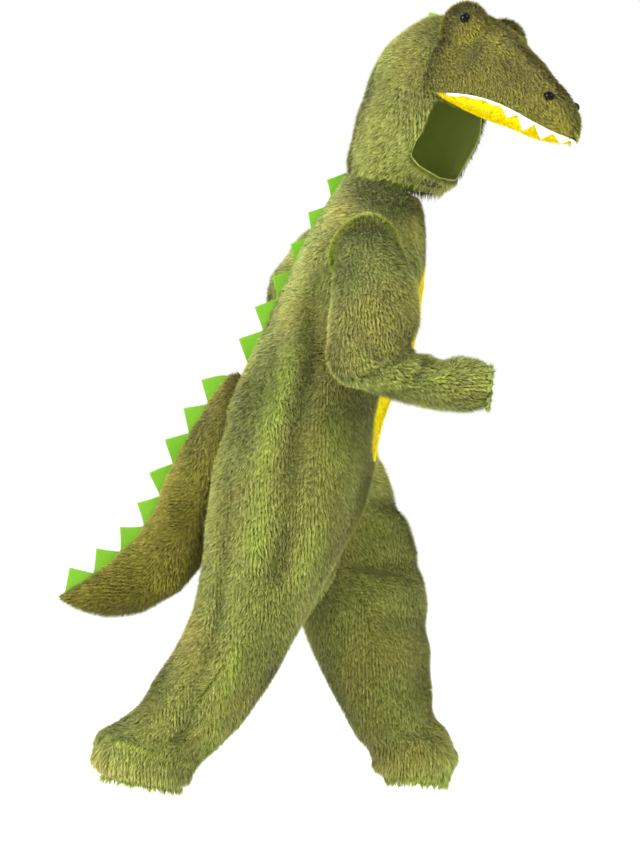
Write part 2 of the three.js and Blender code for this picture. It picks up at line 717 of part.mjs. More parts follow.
// A seam as a line of [y, z] places, with the place and outward direction at a distance along it
function seamLine(points, outwardHint) {
  const lengths = [0];
  points.slice(1).forEach((p, i) => {
    lengths.push(lengths[i] + Math.hypot(p[0] - points[i][0], p[1] - points[i][1]));
  });
  return (along, height) => {
    let i = 0;
    while (i < points.length - 2 && lengths[i + 1] < along) i += 1;
    const t = (along - lengths[i]) / (lengths[i + 1] - lengths[i]);
    const [[x0, y0], [x1, y1]] = [points[i], points[i + 1]];
    const tangent = new THREE.Vector2(x1 - x0, y1 - y0).normalize();
    const outward = new THREE.Vector2(tangent.y, -tangent.x);
    if (outward.dot(outwardHint) < 0) outward.negate();
    return [
      points[i][0] + (points[i + 1][0] - points[i][0]) * t + outward.x * height,
      points[i][1] + (points[i + 1][1] - points[i][1]) * t + outward.y * height,
    ];
  };
}

function repeatedSpikes({ first, pitch, base, height, count }) {
  return Array.from({ length: count }, (_, k) => [first + k * pitch, base, height]);
}

// The zigzag strip, and the room that it takes in the seam
function feltStrip(line, spikes) {
  const rows = spikes.map((values) => Object.fromEntries(SPIKE.map((name, i) => [name, values[i]])));
  const start = rows[0].along - rows[0].base / 2;
  const end = rows.at(-1).along + rows.at(-1).base / 2;
  const top = rows.flatMap(({ along, base, height }) => [
    line(along - base / 2, 1),
    line(along, height),
    line(along + base / 2, 1),
  ]);
  const steps = Math.ceil((end - start) / 20);
  const level = (height, margin) =>
    Array.from({ length: steps + 1 }, (_, k) => {
      const along = start - margin + ((end - start + 2 * margin) * k) / steps;
      return line(along, height);
    });
  const strip = plate([...top, ...level(-FELT_ROOT, 0).reverse()], FELT);
  const roomOutline = [...level(ROOM_HEIGHT, SEAM_GAP), ...level(-FELT_ROOT - SEAM_GAP, SEAM_GAP).reverse()];
  return { strip, room: plate(roomOutline, FELT + 2 * SEAM_GAP) };
}

const BACKWARD = new THREE.Vector2(1, 0.2); // roughly outward from the back seam, as (y, z)
const backLine = BODY_ROWS.filter((row) => row < 7.5).map((row) => {
  const { outer } = suitPoint(RIGHT, row, -90);
  return [outer.y, outer.z];
});
const { strip: backStrip, room: backStripRoom } = feltStrip(seamLine(backLine, BACKWARD), BACK_SPIKES);

// Tail

function tailHalf(side) {
  const sections = TAIL_ROWS.map((place) => {
    const section = rowAt(TAIL, TAIL_SECTION, place);
    return Array.from({ length: TAIL_COLUMNS + 1 }, (_, k) => {
      const angle = (Math.PI * k) / TAIL_COLUMNS;
      const down = (1 - Math.cos(angle)) / 2;
      return new THREE.Vector3(
        side * (SEAM_GAP / 2 + section.half * Math.sin(angle) ** 0.9),
        section.ridgeY + (section.underY - section.ridgeY) * down,
        section.ridgeZ + (section.underZ - section.ridgeZ) * down,
      );
    });
  });
  return cut(loftGeometry(sections), bodyPlug(side), tailStripRoom);
}

// One half of the body without its hollow, grown by the seam gap, which the tail's root is shaped by
function bodyPlug(side) {
  const rows = BODY_ROWS.filter((row) => row > 4 && row < 17);
  const sections = rows.map((row) => {
    const inner = innerAngle(side, row);
    const front = spread(PANEL_COLUMNS, inner, 0, (angle) => suitPoint(side, row, angle));
    const back = spread(PANEL_COLUMNS, 0, -inner, (angle) => suitPoint(side, row, angle));
    const middle = onChord(bodySection(side, row), 0);
    const points = [...front.outer, ...back.outer.slice(1, row >= CROTCH ? -1 : undefined)];
    if (row >= CROTCH) points.push(points[0].clone());
    return points.map((p) => {
      const centre = new THREE.Vector3(side * bodySection(side, row).middle, middle.x, middle.y);
      const outward = p.clone().sub(centre);
      const grown = p.clone().add(outward.setLength(SEAM_GAP + 0.2));
      grown.x = Math.abs(p.x) < 1 ? 0 : grown.x;
      return grown;
    });
  });
  return loftGeometry(sections);
}

const UP_AND_BACK = new THREE.Vector2(1, 1); // roughly outward from the tail's and the hood's ridge
const tailLine = TAIL_ROWS.filter((place) => place >= 1).map((place) => {
  const section = rowAt(TAIL, TAIL_SECTION, place);
  return [section.ridgeY, section.ridgeZ];
});
const { strip: tailStrip, room: tailStripRoom } = feltStrip(
  seamLine(tailLine, UP_AND_BACK),
  repeatedSpikes(TAIL_SPIKE),
);

// Hood, in its own frame: x to its left, y backwards, z up

function hoodPoint(row, degrees) {
  const section = rowAt(HOOD, HOOD_SECTION, row);
  const angle = THREE.MathUtils.degToRad(degrees);
  const power = 2 / HOOD_SQUARENESS;
  const sine = Math.sign(Math.sin(angle)) * Math.abs(Math.sin(angle)) ** power;
  const across = Math.abs(Math.cos(angle)) ** power * Math.sign(Math.cos(angle));
  return new THREE.Vector3(
    Math.max(0, section.half) * across,
    -((section.frontF + section.backF) / 2 + ((section.frontF - section.backF) / 2) * sine),
    (section.frontU + section.backU) / 2 + ((section.frontU - section.backU) / 2) * sine,
  );
}

function hoodNormal(row, degrees) {
  const last = HOOD.length - 1;
  const nearPole = Math.min(row, last - 0.15);
  const above = hoodPoint(Math.min(last, nearPole + 0.05), degrees);
  const up = above.sub(hoodPoint(Math.max(0, nearPole - 0.05), degrees));
  const round = hoodPoint(nearPole, degrees + 2).sub(hoodPoint(nearPole, degrees - 2));
  const normal = up.cross(round).normalize();
  const outward = hoodPoint(nearPole, degrees).sub(hoodPoint(nearPole, degrees + 180));
  if (normal.dot(outward) < 0) normal.negate();
  return row >= last ? new THREE.Vector3(0, 0, 1) : normal;
}

// Outer and inner point of the hood's wall; the right half has its x turned round
function hoodWall(side, row, degrees, grow = 0, wall = PLUSH_WALL) {
  const base = hoodPoint(row, degrees);
  const normal = hoodNormal(row, degrees);
  const outer = base.clone().addScaledVector(normal, grow);
  const inner = base.clone().addScaledVector(normal, grow - wall);
  for (const p of [outer, inner]) {
    if (Math.abs(degrees) === 90 || row >= HOOD.length - 1) p.x = 0;
    p.x = Math.abs(p.x) * side;
  }
  return { outer, inner };
}

function faceAngle(row) {
  const middle = (FACE.top + FACE.bottom) / 2;
  const reach = Math.abs(row - middle) / ((FACE.top - FACE.bottom) / 2);
  if (reach >= 1 - ROUNDING) return 90;
  const squareness = row < middle ? FACE.chinSquareness : FACE.browSquareness;
  const width = FACE.halfWidth * (1 - reach ** squareness) ** (1 / squareness);
  const { half } = rowAt(HOOD, HOOD_SECTION, row);
  const cosine = Math.min(1, width / half) ** (HOOD_SQUARENESS / 2);
  return THREE.MathUtils.radToDeg(Math.acos(cosine));
}

function hoodHalf(side) {
  const rows = HOOD_ROWS.map((row) => {
    if (row === HOOD.length - 1) {
      const pole = hoodWall(side, row, 90);
      return { at: [0], outer: [pole.outer], inner: [pole.inner] };
    }
    return spread(HOOD_COLUMNS, faceAngle(row), -90, (angle) => hoodWall(side, row, angle));
  });
  for (const row of rows) {
    for (const p of [...row.outer, ...row.inner]) {
      if (Math.abs(p.x) < SEAM_GAP / 2) p.x = (side * SEAM_GAP) / 2;
    }
  }
  return cut(wallGeometry(rows, false), hoodStripRoom);
}

// The hood without its hollow, grown by the seam gap
function hoodPlug() {
  const sections = HOOD_ROWS.slice(0, -1).map((row) => {
    const grow = row < FACE.top + 0.5 ? 4 * SEAM_GAP : 1.5 * SEAM_GAP;
    const right = spread(HOOD_COLUMNS, 90, -90, (angle) => hoodWall(RIGHT, row, angle, grow));
    const left = spread(HOOD_COLUMNS, -90, 90, (angle) => hoodWall(LEFT, row, angle, grow));
    return [...right.outer, ...left.outer.slice(1, -1)];
  });
  return loftGeometry(sections);
}

const hoodLine = HOOD_ROWS.filter((row) => row <= 9).map((row) => {
  const { outer } = hoodWall(RIGHT, row, -90);
  return [outer.y, outer.z];
});
const { strip: hoodStrip, room: hoodStripRoom } = feltStrip(
  seamLine(hoodLine, UP_AND_BACK),
  repeatedSpikes(HOOD_SPIKE),
);

// Snout

function snoutSection(place, grow) {
  const section = rowAt(SNOUT, SNOUT_SECTION, place);
  const power = 2 / SNOUT_SQUARENESS;
  const points = [];
  for (let k = 0; k <= SNOUT_COLUMNS; k += 1) {
    const angle = (Math.PI * k) / SNOUT_COLUMNS;
    const side = Math.sign(Math.cos(angle)) * Math.abs(Math.cos(angle)) ** power;
    const rise = Math.sin(angle) ** power;
    points.push(
      new THREE.Vector3(
        (section.half + grow) * side,
        -section.forward,
        section.lip - grow + (section.top - section.lip + 2 * grow) * rise,
      ),
    );
  }
  return points;
}

function snoutSolid(grow = 0) {
  return loftGeometry(SNOUT_ROWS.map((place) => snoutSection(place, grow)));
}

function palate() {
  const rows = SNOUT_ROWS.filter((place) => place >= 1.8 && place <= 9.5);
  const sections = rows.map((place) => {
    const section = rowAt(SNOUT, SNOUT_SECTION, place);
    const half = section.half - FELT - 2 * LIP_GAP;
    return Array.from({ length: 13 }, (_, k) => {
      const angle = (Math.PI * k) / 12;
      const depth = section.palate * Math.sin(angle) ** 0.8;
      return new THREE.Vector3(half * Math.cos(angle), -section.forward, section.lip - LIP_GAP - depth);
    });
  });
  return cut(loftGeometry(sections), hoodPlugSolid, teethSolid(SEAM_GAP));
}

// The teeth hang from the lip's outline, from one corner of the mouth round the tip to the other
function teethSolid(grow = 0) {
  const side = SNOUT_ROWS.filter((place) => place >= TEETH.from && place <= 9.5);
  const lip = side.map((place) => {
    const { forward, half, lip: height } = rowAt(SNOUT, SNOUT_SECTION, place);
    return new THREE.Vector3(half, -forward, height);
  });
  const tip = rowAt(SNOUT, SNOUT_SECTION, 10);
  const points = [
    ...lip.map((p) => new THREE.Vector3(-p.x, p.y, p.z)),
    new THREE.Vector3(0, -tip.forward, tip.lip),
    ...lip.reverse(),
  ];
  const outline = new THREE.CatmullRomCurve3(points, false, "centripetal");
  const steps = TEETH.count * 4;
  const sections = Array.from({ length: steps + 1 }, (_, k) => {
    const t = k / steps;
    const place = outline.getPointAt(t);
    const tangent = outline.getTangentAt(t).setZ(0).normalize();
    const inward = new THREE.Vector3(-tangent.y, tangent.x, 0);
    const within = (k % 4) / 2;
    const point = within <= 1 ? within : 2 - within;
    const fromCorner = 1 - Math.abs(2 * t - 1);
    const size = smooth((fromCorner - TEETH.small) / (TEETH.full - TEETH.small));
    const grown = THREE.MathUtils.lerp(TEETH.corner, TEETH.longest, size);
    const length = THREE.MathUtils.lerp(grown, TEETH.tip, smooth((fromCorner - 0.7) / 0.3));
    const height = TEETH.band + point * length;
    const top = place.clone().setZ(place.z - LIP_GAP + grow).addScaledVector(inward, -grow);
    const bottom = top.clone().setZ(top.z - height - 2 * grow);
    const shift = inward.multiplyScalar(FELT + 2 * grow);
    return [top, top.clone().add(shift), bottom.clone().add(shift), bottom];
  });
  return loftGeometry(sections);
}

function mirrored({ aside, forward, up }, side) {
  return new THREE.Vector3(side * aside, -forward, up);
}

function eyeBump(side) {
  return cut(ellipsoid(mirrored(EYE_BUMP, side), EYE_BUMP.radii), snoutSolid(SEAM_GAP), hoodPlugSolid);
}

function eye(side) {
  const bump = ellipsoid(mirrored(EYE_BUMP, side), EYE_BUMP.radii, SEAM_GAP);
  return cut(ellipsoid(mirrored(EYE, side), EYE.radii), bump, snoutSolid(SEAM_GAP));
}

function nostril(side) {
  return cut(ellipsoid(mirrored(NOSTRIL, side), NOSTRIL.radii), snoutSolid(SEAM_GAP));
}

// The tab lies on the closed front of the hood under the chin
function chinTab() {
  const rows = CHIN_TAB.rows.map((row) => {
    const right = spread(3, 90 - CHIN_TAB.halfAngle, 90, (angle) =>
      hoodWall(RIGHT, row, angle, CHIN_TAB.wall + SEAM_GAP, CHIN_TAB.wall),
    );
    const left = spread(3, 90, 90 - CHIN_TAB.halfAngle, (angle) =>
      hoodWall(LEFT, row, angle, CHIN_TAB.wall + SEAM_GAP, CHIN_TAB.wall),
    );
    return {
      at: Array.from({ length: 7 }, (_, k) => k / 6),
      outer: [...right.outer, ...left.outer.slice(1)],
      inner: [...right.inner, ...left.inner.slice(1)],
    };
  });
  return wallGeometry(rows, false);
}

const hoodPlugSolid = hoodPlug();

// The costume

const costume = new THREE.Group();
const hood = new THREE.Group();
hood.position.copy(HOOD_PLACE);
hood.rotation.set(
  THREE.MathUtils.degToRad(HOOD_TURN.nod),
  THREE.MathUtils.degToRad(HOOD_TURN.tilt),
  THREE.MathUtils.degToRad(HOOD_TURN.turn),
  "ZXY",
);
costume.add(hood);

function add(group, name, geometry, looks) {
  const mesh = new THREE.Mesh(geometry, new THREE.MeshStandardMaterial(looks));
  mesh.name = name;
  group.add(mesh);
}

for (const [side, name] of [[RIGHT, "right"], [LEFT, "left"]]) {
  for (const band of BANDS) {
    add(costume, `suit_front_${name}_${band.name}`, suitFront(side, band), GREEN_PLUSH);
    add(costume, `suit_back_${name}_${band.name}`, suitBack(side, band), GREEN_PLUSH);
  }
  add(costume, `tail_${name}`, tailHalf(side), GREEN_PLUSH);
  add(hood, `hood_${name}`, hoodHalf(side), GREEN_PLUSH);
  add(hood, `eye_bump_${name}`, eyeBump(side), GREEN_PLUSH);
  add(hood, `eye_${name}`, eye(side), BLACK_GLOSS);
  add(hood, `nostril_${name}`, nostril(side), BLACK_GLOSS);
}
const rightSleeve = sleeve(RIGHT, RIGHT_SLEEVE, RIGHT_SLEEVE_FOLDS, 0, RIGHT_ELBOW);
const leftSleeve = sleeve(LEFT, LEFT_SLEEVE, LEFT_SLEEVE_FOLDS, LEFT_TWIST, LEFT_ELBOW);
["upper", "lower"].forEach((part, i) => {
  add(costume, `sleeve_right_${part}`, rightSleeve[i], GREEN_PLUSH);
  add(costume, `sleeve_left_${part}`, leftSleeve[i], GREEN_PLUSH);
});
add(costume, "belly_panel", bellyPanel(), YELLOW_PLUSH);
add(costume, "back_spikes", backStrip, LIME_FELT);
add(costume, "tail_spikes", tailStrip, LIME_FELT);
add(hood, "hood_spikes", hoodStrip, LIME_FELT);
add(hood, "snout", cut(snoutSolid(), hoodPlugSolid), GREEN_PLUSH);
add(hood, "palate", palate(), YELLOW_PLUSH);
add(hood, "teeth", cut(teethSolid(), hoodPlugSolid), WHITE_FELT);
add(hood, "chin_tab", chinTab(), BLACK_TAPE);

export default costume;
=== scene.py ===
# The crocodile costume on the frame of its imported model: cloth shells with long pile, felt spikes and
# teeth, a stuffed tail and snout, and glossy eyes. The tables are in millimetres and the scene in metres.
# The costume faces -Y, its left half is +X, and +Z is up.

import math

import bpy
import numpy as np
from mathutils import Matrix, Vector


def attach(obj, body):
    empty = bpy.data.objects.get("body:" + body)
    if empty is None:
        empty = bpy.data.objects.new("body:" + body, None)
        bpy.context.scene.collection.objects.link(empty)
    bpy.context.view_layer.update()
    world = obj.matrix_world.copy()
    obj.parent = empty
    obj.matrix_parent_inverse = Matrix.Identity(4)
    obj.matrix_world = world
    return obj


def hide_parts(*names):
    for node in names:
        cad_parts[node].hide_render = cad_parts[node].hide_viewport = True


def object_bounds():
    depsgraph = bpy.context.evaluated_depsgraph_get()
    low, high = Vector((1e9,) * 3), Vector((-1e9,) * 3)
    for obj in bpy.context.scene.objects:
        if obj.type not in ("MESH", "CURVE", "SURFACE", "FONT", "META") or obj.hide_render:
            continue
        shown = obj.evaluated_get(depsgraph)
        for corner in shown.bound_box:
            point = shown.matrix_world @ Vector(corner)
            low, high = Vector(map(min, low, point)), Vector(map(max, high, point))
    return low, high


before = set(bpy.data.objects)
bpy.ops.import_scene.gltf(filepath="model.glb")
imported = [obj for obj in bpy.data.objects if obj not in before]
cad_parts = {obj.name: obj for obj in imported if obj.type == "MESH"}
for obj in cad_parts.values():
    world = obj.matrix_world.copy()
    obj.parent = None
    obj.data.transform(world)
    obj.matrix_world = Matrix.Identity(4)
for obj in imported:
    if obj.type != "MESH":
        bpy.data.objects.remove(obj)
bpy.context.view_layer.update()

MM = 0.001
RIGHT = -1
LEFT = 1
SEED = 11

# Driving dimensions, as in the solids
WALL = 8  # backing and pile together
CUFF_WALL = 5
BELLY_WALL = 5
FELT = 2.4
FELT_ROOT = 6
LEG_WAVES = 14  # gathers round a trouser hem
LEG_WAVE_HEIGHT = 5
SLEEVE_WAVES = 12
SLEEVE_WAVE_HEIGHT = 3
SLEEVE_CUFF_FULLNESS = 5
SLEEVE_HEAD_RIDGE = 5  # height of the seam's soft ridge at the armhole

# Cloth and pile
ARMHOLE_TUCK = 1.06  # the sleeve's seam allowance, as a share of the armhole's size
BACKING = 2  # thickness of the cloth that carries the pile
LONG_PILE = 13
SHORT_PILE = 5
TIP_PILE = 9  # on the snout's blunt end
BUMP_PILE = 11  # on the eye bumps
CUFF_FULLNESS = 9  # how far the fluffed pile fills the neck that the elastic draws in
ROOT_LIFT = 0.4  # from the backing to the blades' roots
HANG = 0.15  # how much its weight bends the pile down
BLADES = 800000  # on the whole costume
DENSITY = BLADES / 2.02e6  # blades for each square millimetre of the cloth that has pile
BLADE_WIDTH = 1.5
BLADE_LENGTHS = (0.72, 1.12)  # of the shortest and the longest blade, as shares of the pile's length
BLADE_ROLL = 0.45  # radians that a blade turns about its length
LIFT = 48  # degrees between the combed pile and the cloth
LIFT_OF_LOCK = 9  # degrees that one lock's lift differs from another's
LIFT_OF_BLADE = 6
SWIRL = 0.55  # radians that the pile turns from its flow, in waves of the next length
SWIRL_LENGTH = 150
SWIRL_OF_BLADE = 0.2
LOCK = 6  # size of a lock, a tuft of blades in one shade
LOCK_WOBBLE = 4  # how far the locks' borders wander, in waves of the next length
LOCK_WOBBLE_LENGTH = 30
LOCK_FACTORS = (73856093, 19349663, 83492791)  # scatter the shades over the locks
SHADE_FACTOR = 2654435761
SHADES = 4096
GATHER = 0.75  # share of the way that a blade's tip goes to the middle of its lock
GATHER_REACH = 4

# Sections of the body: rearmost and foremost point, distance of the middle from the plane between the
# two halves, and half the width
TORSO = [
    # backY backZ frontY frontZ middle half
    [63, 37.7, -60, -3, 0, 62],
    [78, 8, -65, -19, 0, 102],
    [97, -20, -68, -46, 0, 138],
    [126, -70, -70, -107, 0, 142],
    [151, -121, -68, -165, 0, 141],
    [180, -179, -60, -226, 0, 140],
    [207, -238, -44, -286, 0, 146],
    [236, -299, -13, -350, 0, 156],
    [262, -357, 5, -406, 0, 166],
]
RIGHT_LEG = [
    [277, -416, 20, -466, 25, 143],
    [289, -466, 37, -525, 50, 117],
    [294, -516, 57, -575, 68, 95],
    [297, -566, 84, -621, 78, 78],
    [301, -616, 114, -680, 82, 76],
    [314, -680, 156, -758, 84, 74],
    [344, -752, 194, -825, 85, 71],
    [376, -802, 226, -875, 85, 69],
    [406, -854, 252, -907, 85, 68],
    [445, -884, 277, -932, 85, 68],
    [478, -905, 301, -952, 85, 68],
    [485, -938, 324, -974, 85, 62],
    [459, -963, 344, -979, 85, 46],
    [460, -977, 351, -994, 85, 50],
]
LEFT_LEG = [
    [252, -438, 7, -438, 25, 143],
    [228, -503, -7, -469, 50, 117],
    [204, -573, -24, -512, 68, 95],
    [178, -633, -45, -562, 78, 78],
    [159, -685, -62, -611, 82, 76],
    [140, -732, -73, -664, 84, 74],
    [121, -784, -81, -721, 85, 71],
    [93, -839, -84, -789, 85, 69],
    [67, -888, -83, -846, 85, 68],
    [45, -927, -90, -894, 85, 68],
    [26, -950, -113, -922, 85, 67],
    [14, -971, -123, -953, 85, 60],
    [-7, -984, -111, -979, 85, 44],
    [-19, -1000, -101, -1009, 85, 46],
]
BODY = {side: np.array(TORSO + leg, float) for side, leg in ((RIGHT, RIGHT_LEG), (LEFT, LEFT_LEG))}
CROTCH = 12
CUFF = 20.4
HEM = 22
LEG_BLEND = 70  # from the middle plane to where the two halves' sections are their own
ARMHOLE = {"top": 2.35, "bottom": 4.35, "half_angle": 30}
ARMHOLE_MIDDLE = (ARMHOLE["top"] + ARMHOLE["bottom"]) / 2
ARMHOLE_HALF = (ARMHOLE["bottom"] - ARMHOLE["top"]) / 2
BANDS = ("chest", "waist", "hip", "knee", "ankle")  # solids of one panel, from the neck down
BELLY = {"top": 3.1, "bottom": 9, "half_width": 92}

# Folds: half, section and angle of each end (0 at the side seam, 90 at the front, -90 at the back), width
# across and height (troughs are negative)
BODY_FOLDS = [
    # side from_row from_angle to_row to_angle width height
    [RIGHT, 4, -40, 6.5, -9, 20, -10],
    [RIGHT, 6.5, -9, 12.5, 16, 18, -11],
    [RIGHT, 6.3, -28, 12, -12, 24, 7],
    [RIGHT, 8, 26, 12.5, 38, 24, 5],
    [RIGHT, 10, -52, 13.5, -36, 18, -8],
    [RIGHT, 13.5, -36, 17.6, 12, 18, -9],
    [RIGHT, 14.6, 8, 18.2, 58, 22, 6],
    [RIGHT, 18.6, -60, 19, 60, 16, 5],
    [RIGHT, 15.2, 40, 17.4, 75, 14, -4],
    [RIGHT, 18.2, -40, 19.6, -70, 14, -4],
    [RIGHT, 8.4, -60, 11, -44, 20, -4],
    [LEFT, 4.3, -48, 7.4, -16, 20, -9],
    [LEFT, 7.4, -16, 11.8, 8, 22, -10],
    [LEFT, 6.8, 20, 11, 34, 26, 6],
    [LEFT, 10.2, 128, 11.9, 70, 18, -9],
    [LEFT, 12.8, 150, 13.6, 70, 18, -8],
    [LEFT, 14.6, 165, 15.4, 80, 20, -7],
    [LEFT, 16.6, 60, 17.6, 150, 20, 5],
    [LEFT, 13, -60, 17, -20, 22, -8],
    [LEFT, 18, 170, 19.2, 100, 14, -5],
]
ROW_SPACING = 56
ANGLE_SPACING = 2
FOLD_FADE = 25

RIGHT_SLEEVE = [
    # x backY backZ frontY frontZ across lean
    [-160, 84, -106, -22, -110, 57, 82],
    [-182, 82, -132, -32, -124, 58, 55],
    [-203, 87, -172, -44, -152, 57, 28],
    [-214, 92, -212, -52, -190, 57, 8],
    [-219, 95, -246, -52, -224, 57, 0],
    [-225, 97, -281, -41, -255, 55, 0],
    [-226, 81, -315, -45, -270, 53, 0],
    [-224, 46, -331, -51, -275, 50, 0],
    [-221, 2, -347, -67, -279, 47, 0],
    [-218, -43, -357, -92, -288, 44, 0],
    [-215, -97, -368, -121, -281, 45, 0],
    [-213, -139, -367, -150, -287, 41, 0],
    [-212, -160, -356, -165, -306, 27, 0],
    [-212, -168, -359, -172, -304, 30, 0],
]
LEFT_SLEEVE = [
    # x backY backZ frontY frontZ across lean
    [162, 95, -26, 4, -122, 60, 78],
    [186, 137, -52, 38, -134, 58, 44],
    [210, 168, -90, 66, -140, 56, 18],
    [221, 195, -130, 86, -156, 54, 0],
    [225, 199, -176, 90, -171, 52, 0],
    [226, 168, -222, 80, -176, 49, 0],
    [224, 110, -240, 62, -168, 46, 0],
    [221, 54, -226, 22, -148, 44, 0],
    [218, -4, -200, -24, -117, 42, 0],
    [216, -44, -162, -50, -107, 27, 0],
    [216, -53, -163, -60, -104, 30, 0],
]
LEFT_TWIST = 47  # degrees that the left sleeve's rings are turned against the armhole
RIGHT_SLEEVE_FOLDS = [
    # side from_ring from_angle to_ring to_angle width height, with 0 at the front and 90 outside
    [RIGHT, 3.5, 120, 6, 60, 14, -6],
    [RIGHT, 6, 35, 6.6, 120, 12, -9],
    [RIGHT, 6.6, 150, 9.5, 70, 14, 6],
    [RIGHT, 7.8, 30, 8.4, 100, 10, -7],
    [RIGHT, 9.2, 140, 12, 110, 10, -5],
    [RIGHT, 4, 250, 6.5, 300, 14, -6],
    [RIGHT, 5.2, 20, 5.8, 90, 10, -5],
    [RIGHT, 9.8, 60, 11.4, 40, 9, -4],
]
LEFT_SLEEVE_FOLDS = [
    # side from_ring from_angle to_ring to_angle width height
    [LEFT, 1.6, 130, 4, 80, 14, -6],
    [LEFT, 3.6, 30, 4.4, 120, 12, -8],
    [LEFT, 4.6, 150, 7.5, 80, 14, 6],
    [LEFT, 5.8, 30, 6.4, 100, 10, -6],
]
RING_SPACING = 38
RING_ANGLE_SPACING = 1

PAINTED_FOLD_LIGHT_SPAN = {"suit": 18, "sleeve": 16, "snout": 10}  # heights of the folds over which the painted fold light goes from the painted shade of a full trough to the painted highlight of a full ridge
SLACK = {
    # height length seed, of the waves of loose cloth
    "body": (2.2, 130, 3),
    "sleeve": (1.8, 90, 5),
    "tail": (1.6, 90, 7),
    "hood": (1.5, 100, 9),
    "snout": (1.6, 80, 13),
    "chin_tab": (0.5, 25, 17),
}

TAIL = [
    # ridgeY ridgeZ underY underZ half
    [205, -318, 262, -540, 44],
    [238, -303, 288, -548, 56],
    [267, -309, 300, -582, 62],
    [298, -357, 305, -618, 63],
    [330, -406, 314, -638, 61],
    [362, -468, 332, -658, 57],
    [384, -524, 353, -677, 51],
    [411, -570, 384, -694, 43],
    [452, -612, 420, -711, 34],
    [496, -646, 471, -717, 24],
    [532, -670, 515, -706, 13],
    [549, -681, 545, -688, 3],
]

BACK_SPIKES = [
    # along base height
    [26, 50, 24],
    [91, 46, 21],
    [151, 46, 22],
    [215, 52, 25],
    [273, 58, 30],
    [334, 60, 32],
]
TAIL_SPIKES = [[57 + 58.8 * k, 57, 31] for k in range(8)]
HOOD_SPIKES = [[45 + 52 * k, 46, 28] for k in range(6)]

HOOD_PLACE = (-15, -59, 139)
HOOD_TURN = {"nod": 17, "tilt": 10, "turn": -44}
HOOD = [
    # backF backU frontF frontU half
    [-76, -138, 80, -116, 74],
    [-84, -112, 99, -98, 79],
    [-88, -75, 116, -75, 84],
    [-92, -35, 126, -30, 88],
    [-92, 5, 124, 5, 90],
    [-90, 40, 108, 36, 90],
    [-82, 75, 98, 70, 87],
    [-62, 108, 90, 104, 79],
    [-39, 140, 80, 134, 64],
    [-13, 162, 66, 156, 42],
    [30, 174, 30, 174, 0],
]
HOOD_SQUARENESS = 2.6
FACE = {"bottom": 1.06, "top": 4.85, "half_width": 76, "chin_squareness": 3, "brow_squareness": 7}

SNOUT = [
    # forward half top lip palate
    [44, 82, 180, 34, 4],
    [75, 87, 189, 34, 5],
    [105, 86, 187, 35, 9],
    [140, 83, 174, 42, 20],
    [180, 77, 156, 47, 27],
    [219, 69, 136, 47, 29],
    [255, 60, 119, 42, 28],
    [285, 50, 103, 36, 20],
    [308, 40, 84, 32, 13],
    [324, 27, 66, 30, 8],
    [333, 10, 46, 30, 4],
]
SNOUT_SQUARENESS = 2.3
SNOUT_FOLDS = [
    # side from_place from_angle to_place to_angle width height, with 0 at the left lip and 90 on top
    [1, 1.5, 96, 4.6, 92, 9, -5],
    [1, 2.6, 150, 5.4, 140, 16, -4],
    [1, 5.6, 78, 8.2, 84, 12, -3],
]
SNOUT_SPACING = (30, 0.9)  # of the places and of the degrees round the snout
LIP_GAP = 0.6
TEETH = {
    "count": 14, "from": 2.5, "band": 2.5, "corner": 2, "longest": 19, "tip": 9, "small": 0.3, "full": 0.66,
    "shorter": 0.7, "curl": 1.5, "steps": 12,
}
EYE_BUMP = {"aside": 52, "forward": 84, "up": 151, "radii": (36, 44, 46)}
EYE = {"aside": 80, "forward": 101, "up": 164, "radii": (7, 9, 9)}
NOSTRIL = {"aside": 35.5, "forward": 288, "up": 82.5, "radii": (7, 10, 8)}
CHIN_TAB = {"from": 0.16, "to": 0.66, "half_angle": 15, "wall": 3, "sunk": 2.4, "thick": 1.6}


# Camera, at the photograph's place and angle

CAMERA_PLACE = (-4.5, 0.1071, -0.3936)
HALF_VIEW = 0.725  # metres seen above and below the middle, at the costume's middle plane


def in_scene(name, data):
    made = bpy.data.objects.new(name, data)
    bpy.context.scene.collection.objects.link(made)
    return made


def add_camera():
    data = bpy.data.cameras.new("camera")
    data.sensor_fit = "VERTICAL"
    data.angle = 2 * math.atan(HALF_VIEW / -CAMERA_PLACE[0])
    camera = in_scene("camera", data)
    camera.location = CAMERA_PLACE
    camera.rotation_euler = (math.pi / 2, 0, -math.pi / 2)
    bpy.context.scene.camera = camera


# Interpolation in the tables


def smooth(t):
    t = np.clip(t, 0, 1)
    return t * t * (3 - 2 * t)


def paired(first, second):
    """Two grids of numbers in one shape."""
    return np.broadcast_arrays(np.asarray(first, float), np.asarray(second, float))


def with_sign(wave, power):
    """A power of a sine or a cosine that keeps its sign, which squares or narrows an oval."""
    return np.sign(wave) * np.abs(wave) ** power


def distances(line):
    """How far each point of a line is from the first, along the line."""
    return np.concatenate([[0], np.cumsum(np.linalg.norm(np.diff(line, axis=0), axis=1))])


def on_line(line, lengths, along):
    """Points of a line at distances along it."""
    return np.stack([np.interp(along, lengths, column) for column in line.T], -1)


def section_at(table, place):
    """Columns of a table at any place between its rows, by a Catmull-Rom spline."""
    table = np.asarray(table, float)
    place = np.asarray(place, float)
    last = len(table) - 1
    low = np.clip(np.floor(place), 0, last - 1).astype(int)
    t = (place - low)[..., None]
    a, b, c, d = (table[np.clip(low + shift, 0, last)] for shift in (-1, 0, 1, 2))
    row = b + 0.5 * t * (c - a + t * (2 * a - 5 * b + 4 * c - d + t * (3 * (b - c) + d - a)))
    return np.moveaxis(row, -1, 0)


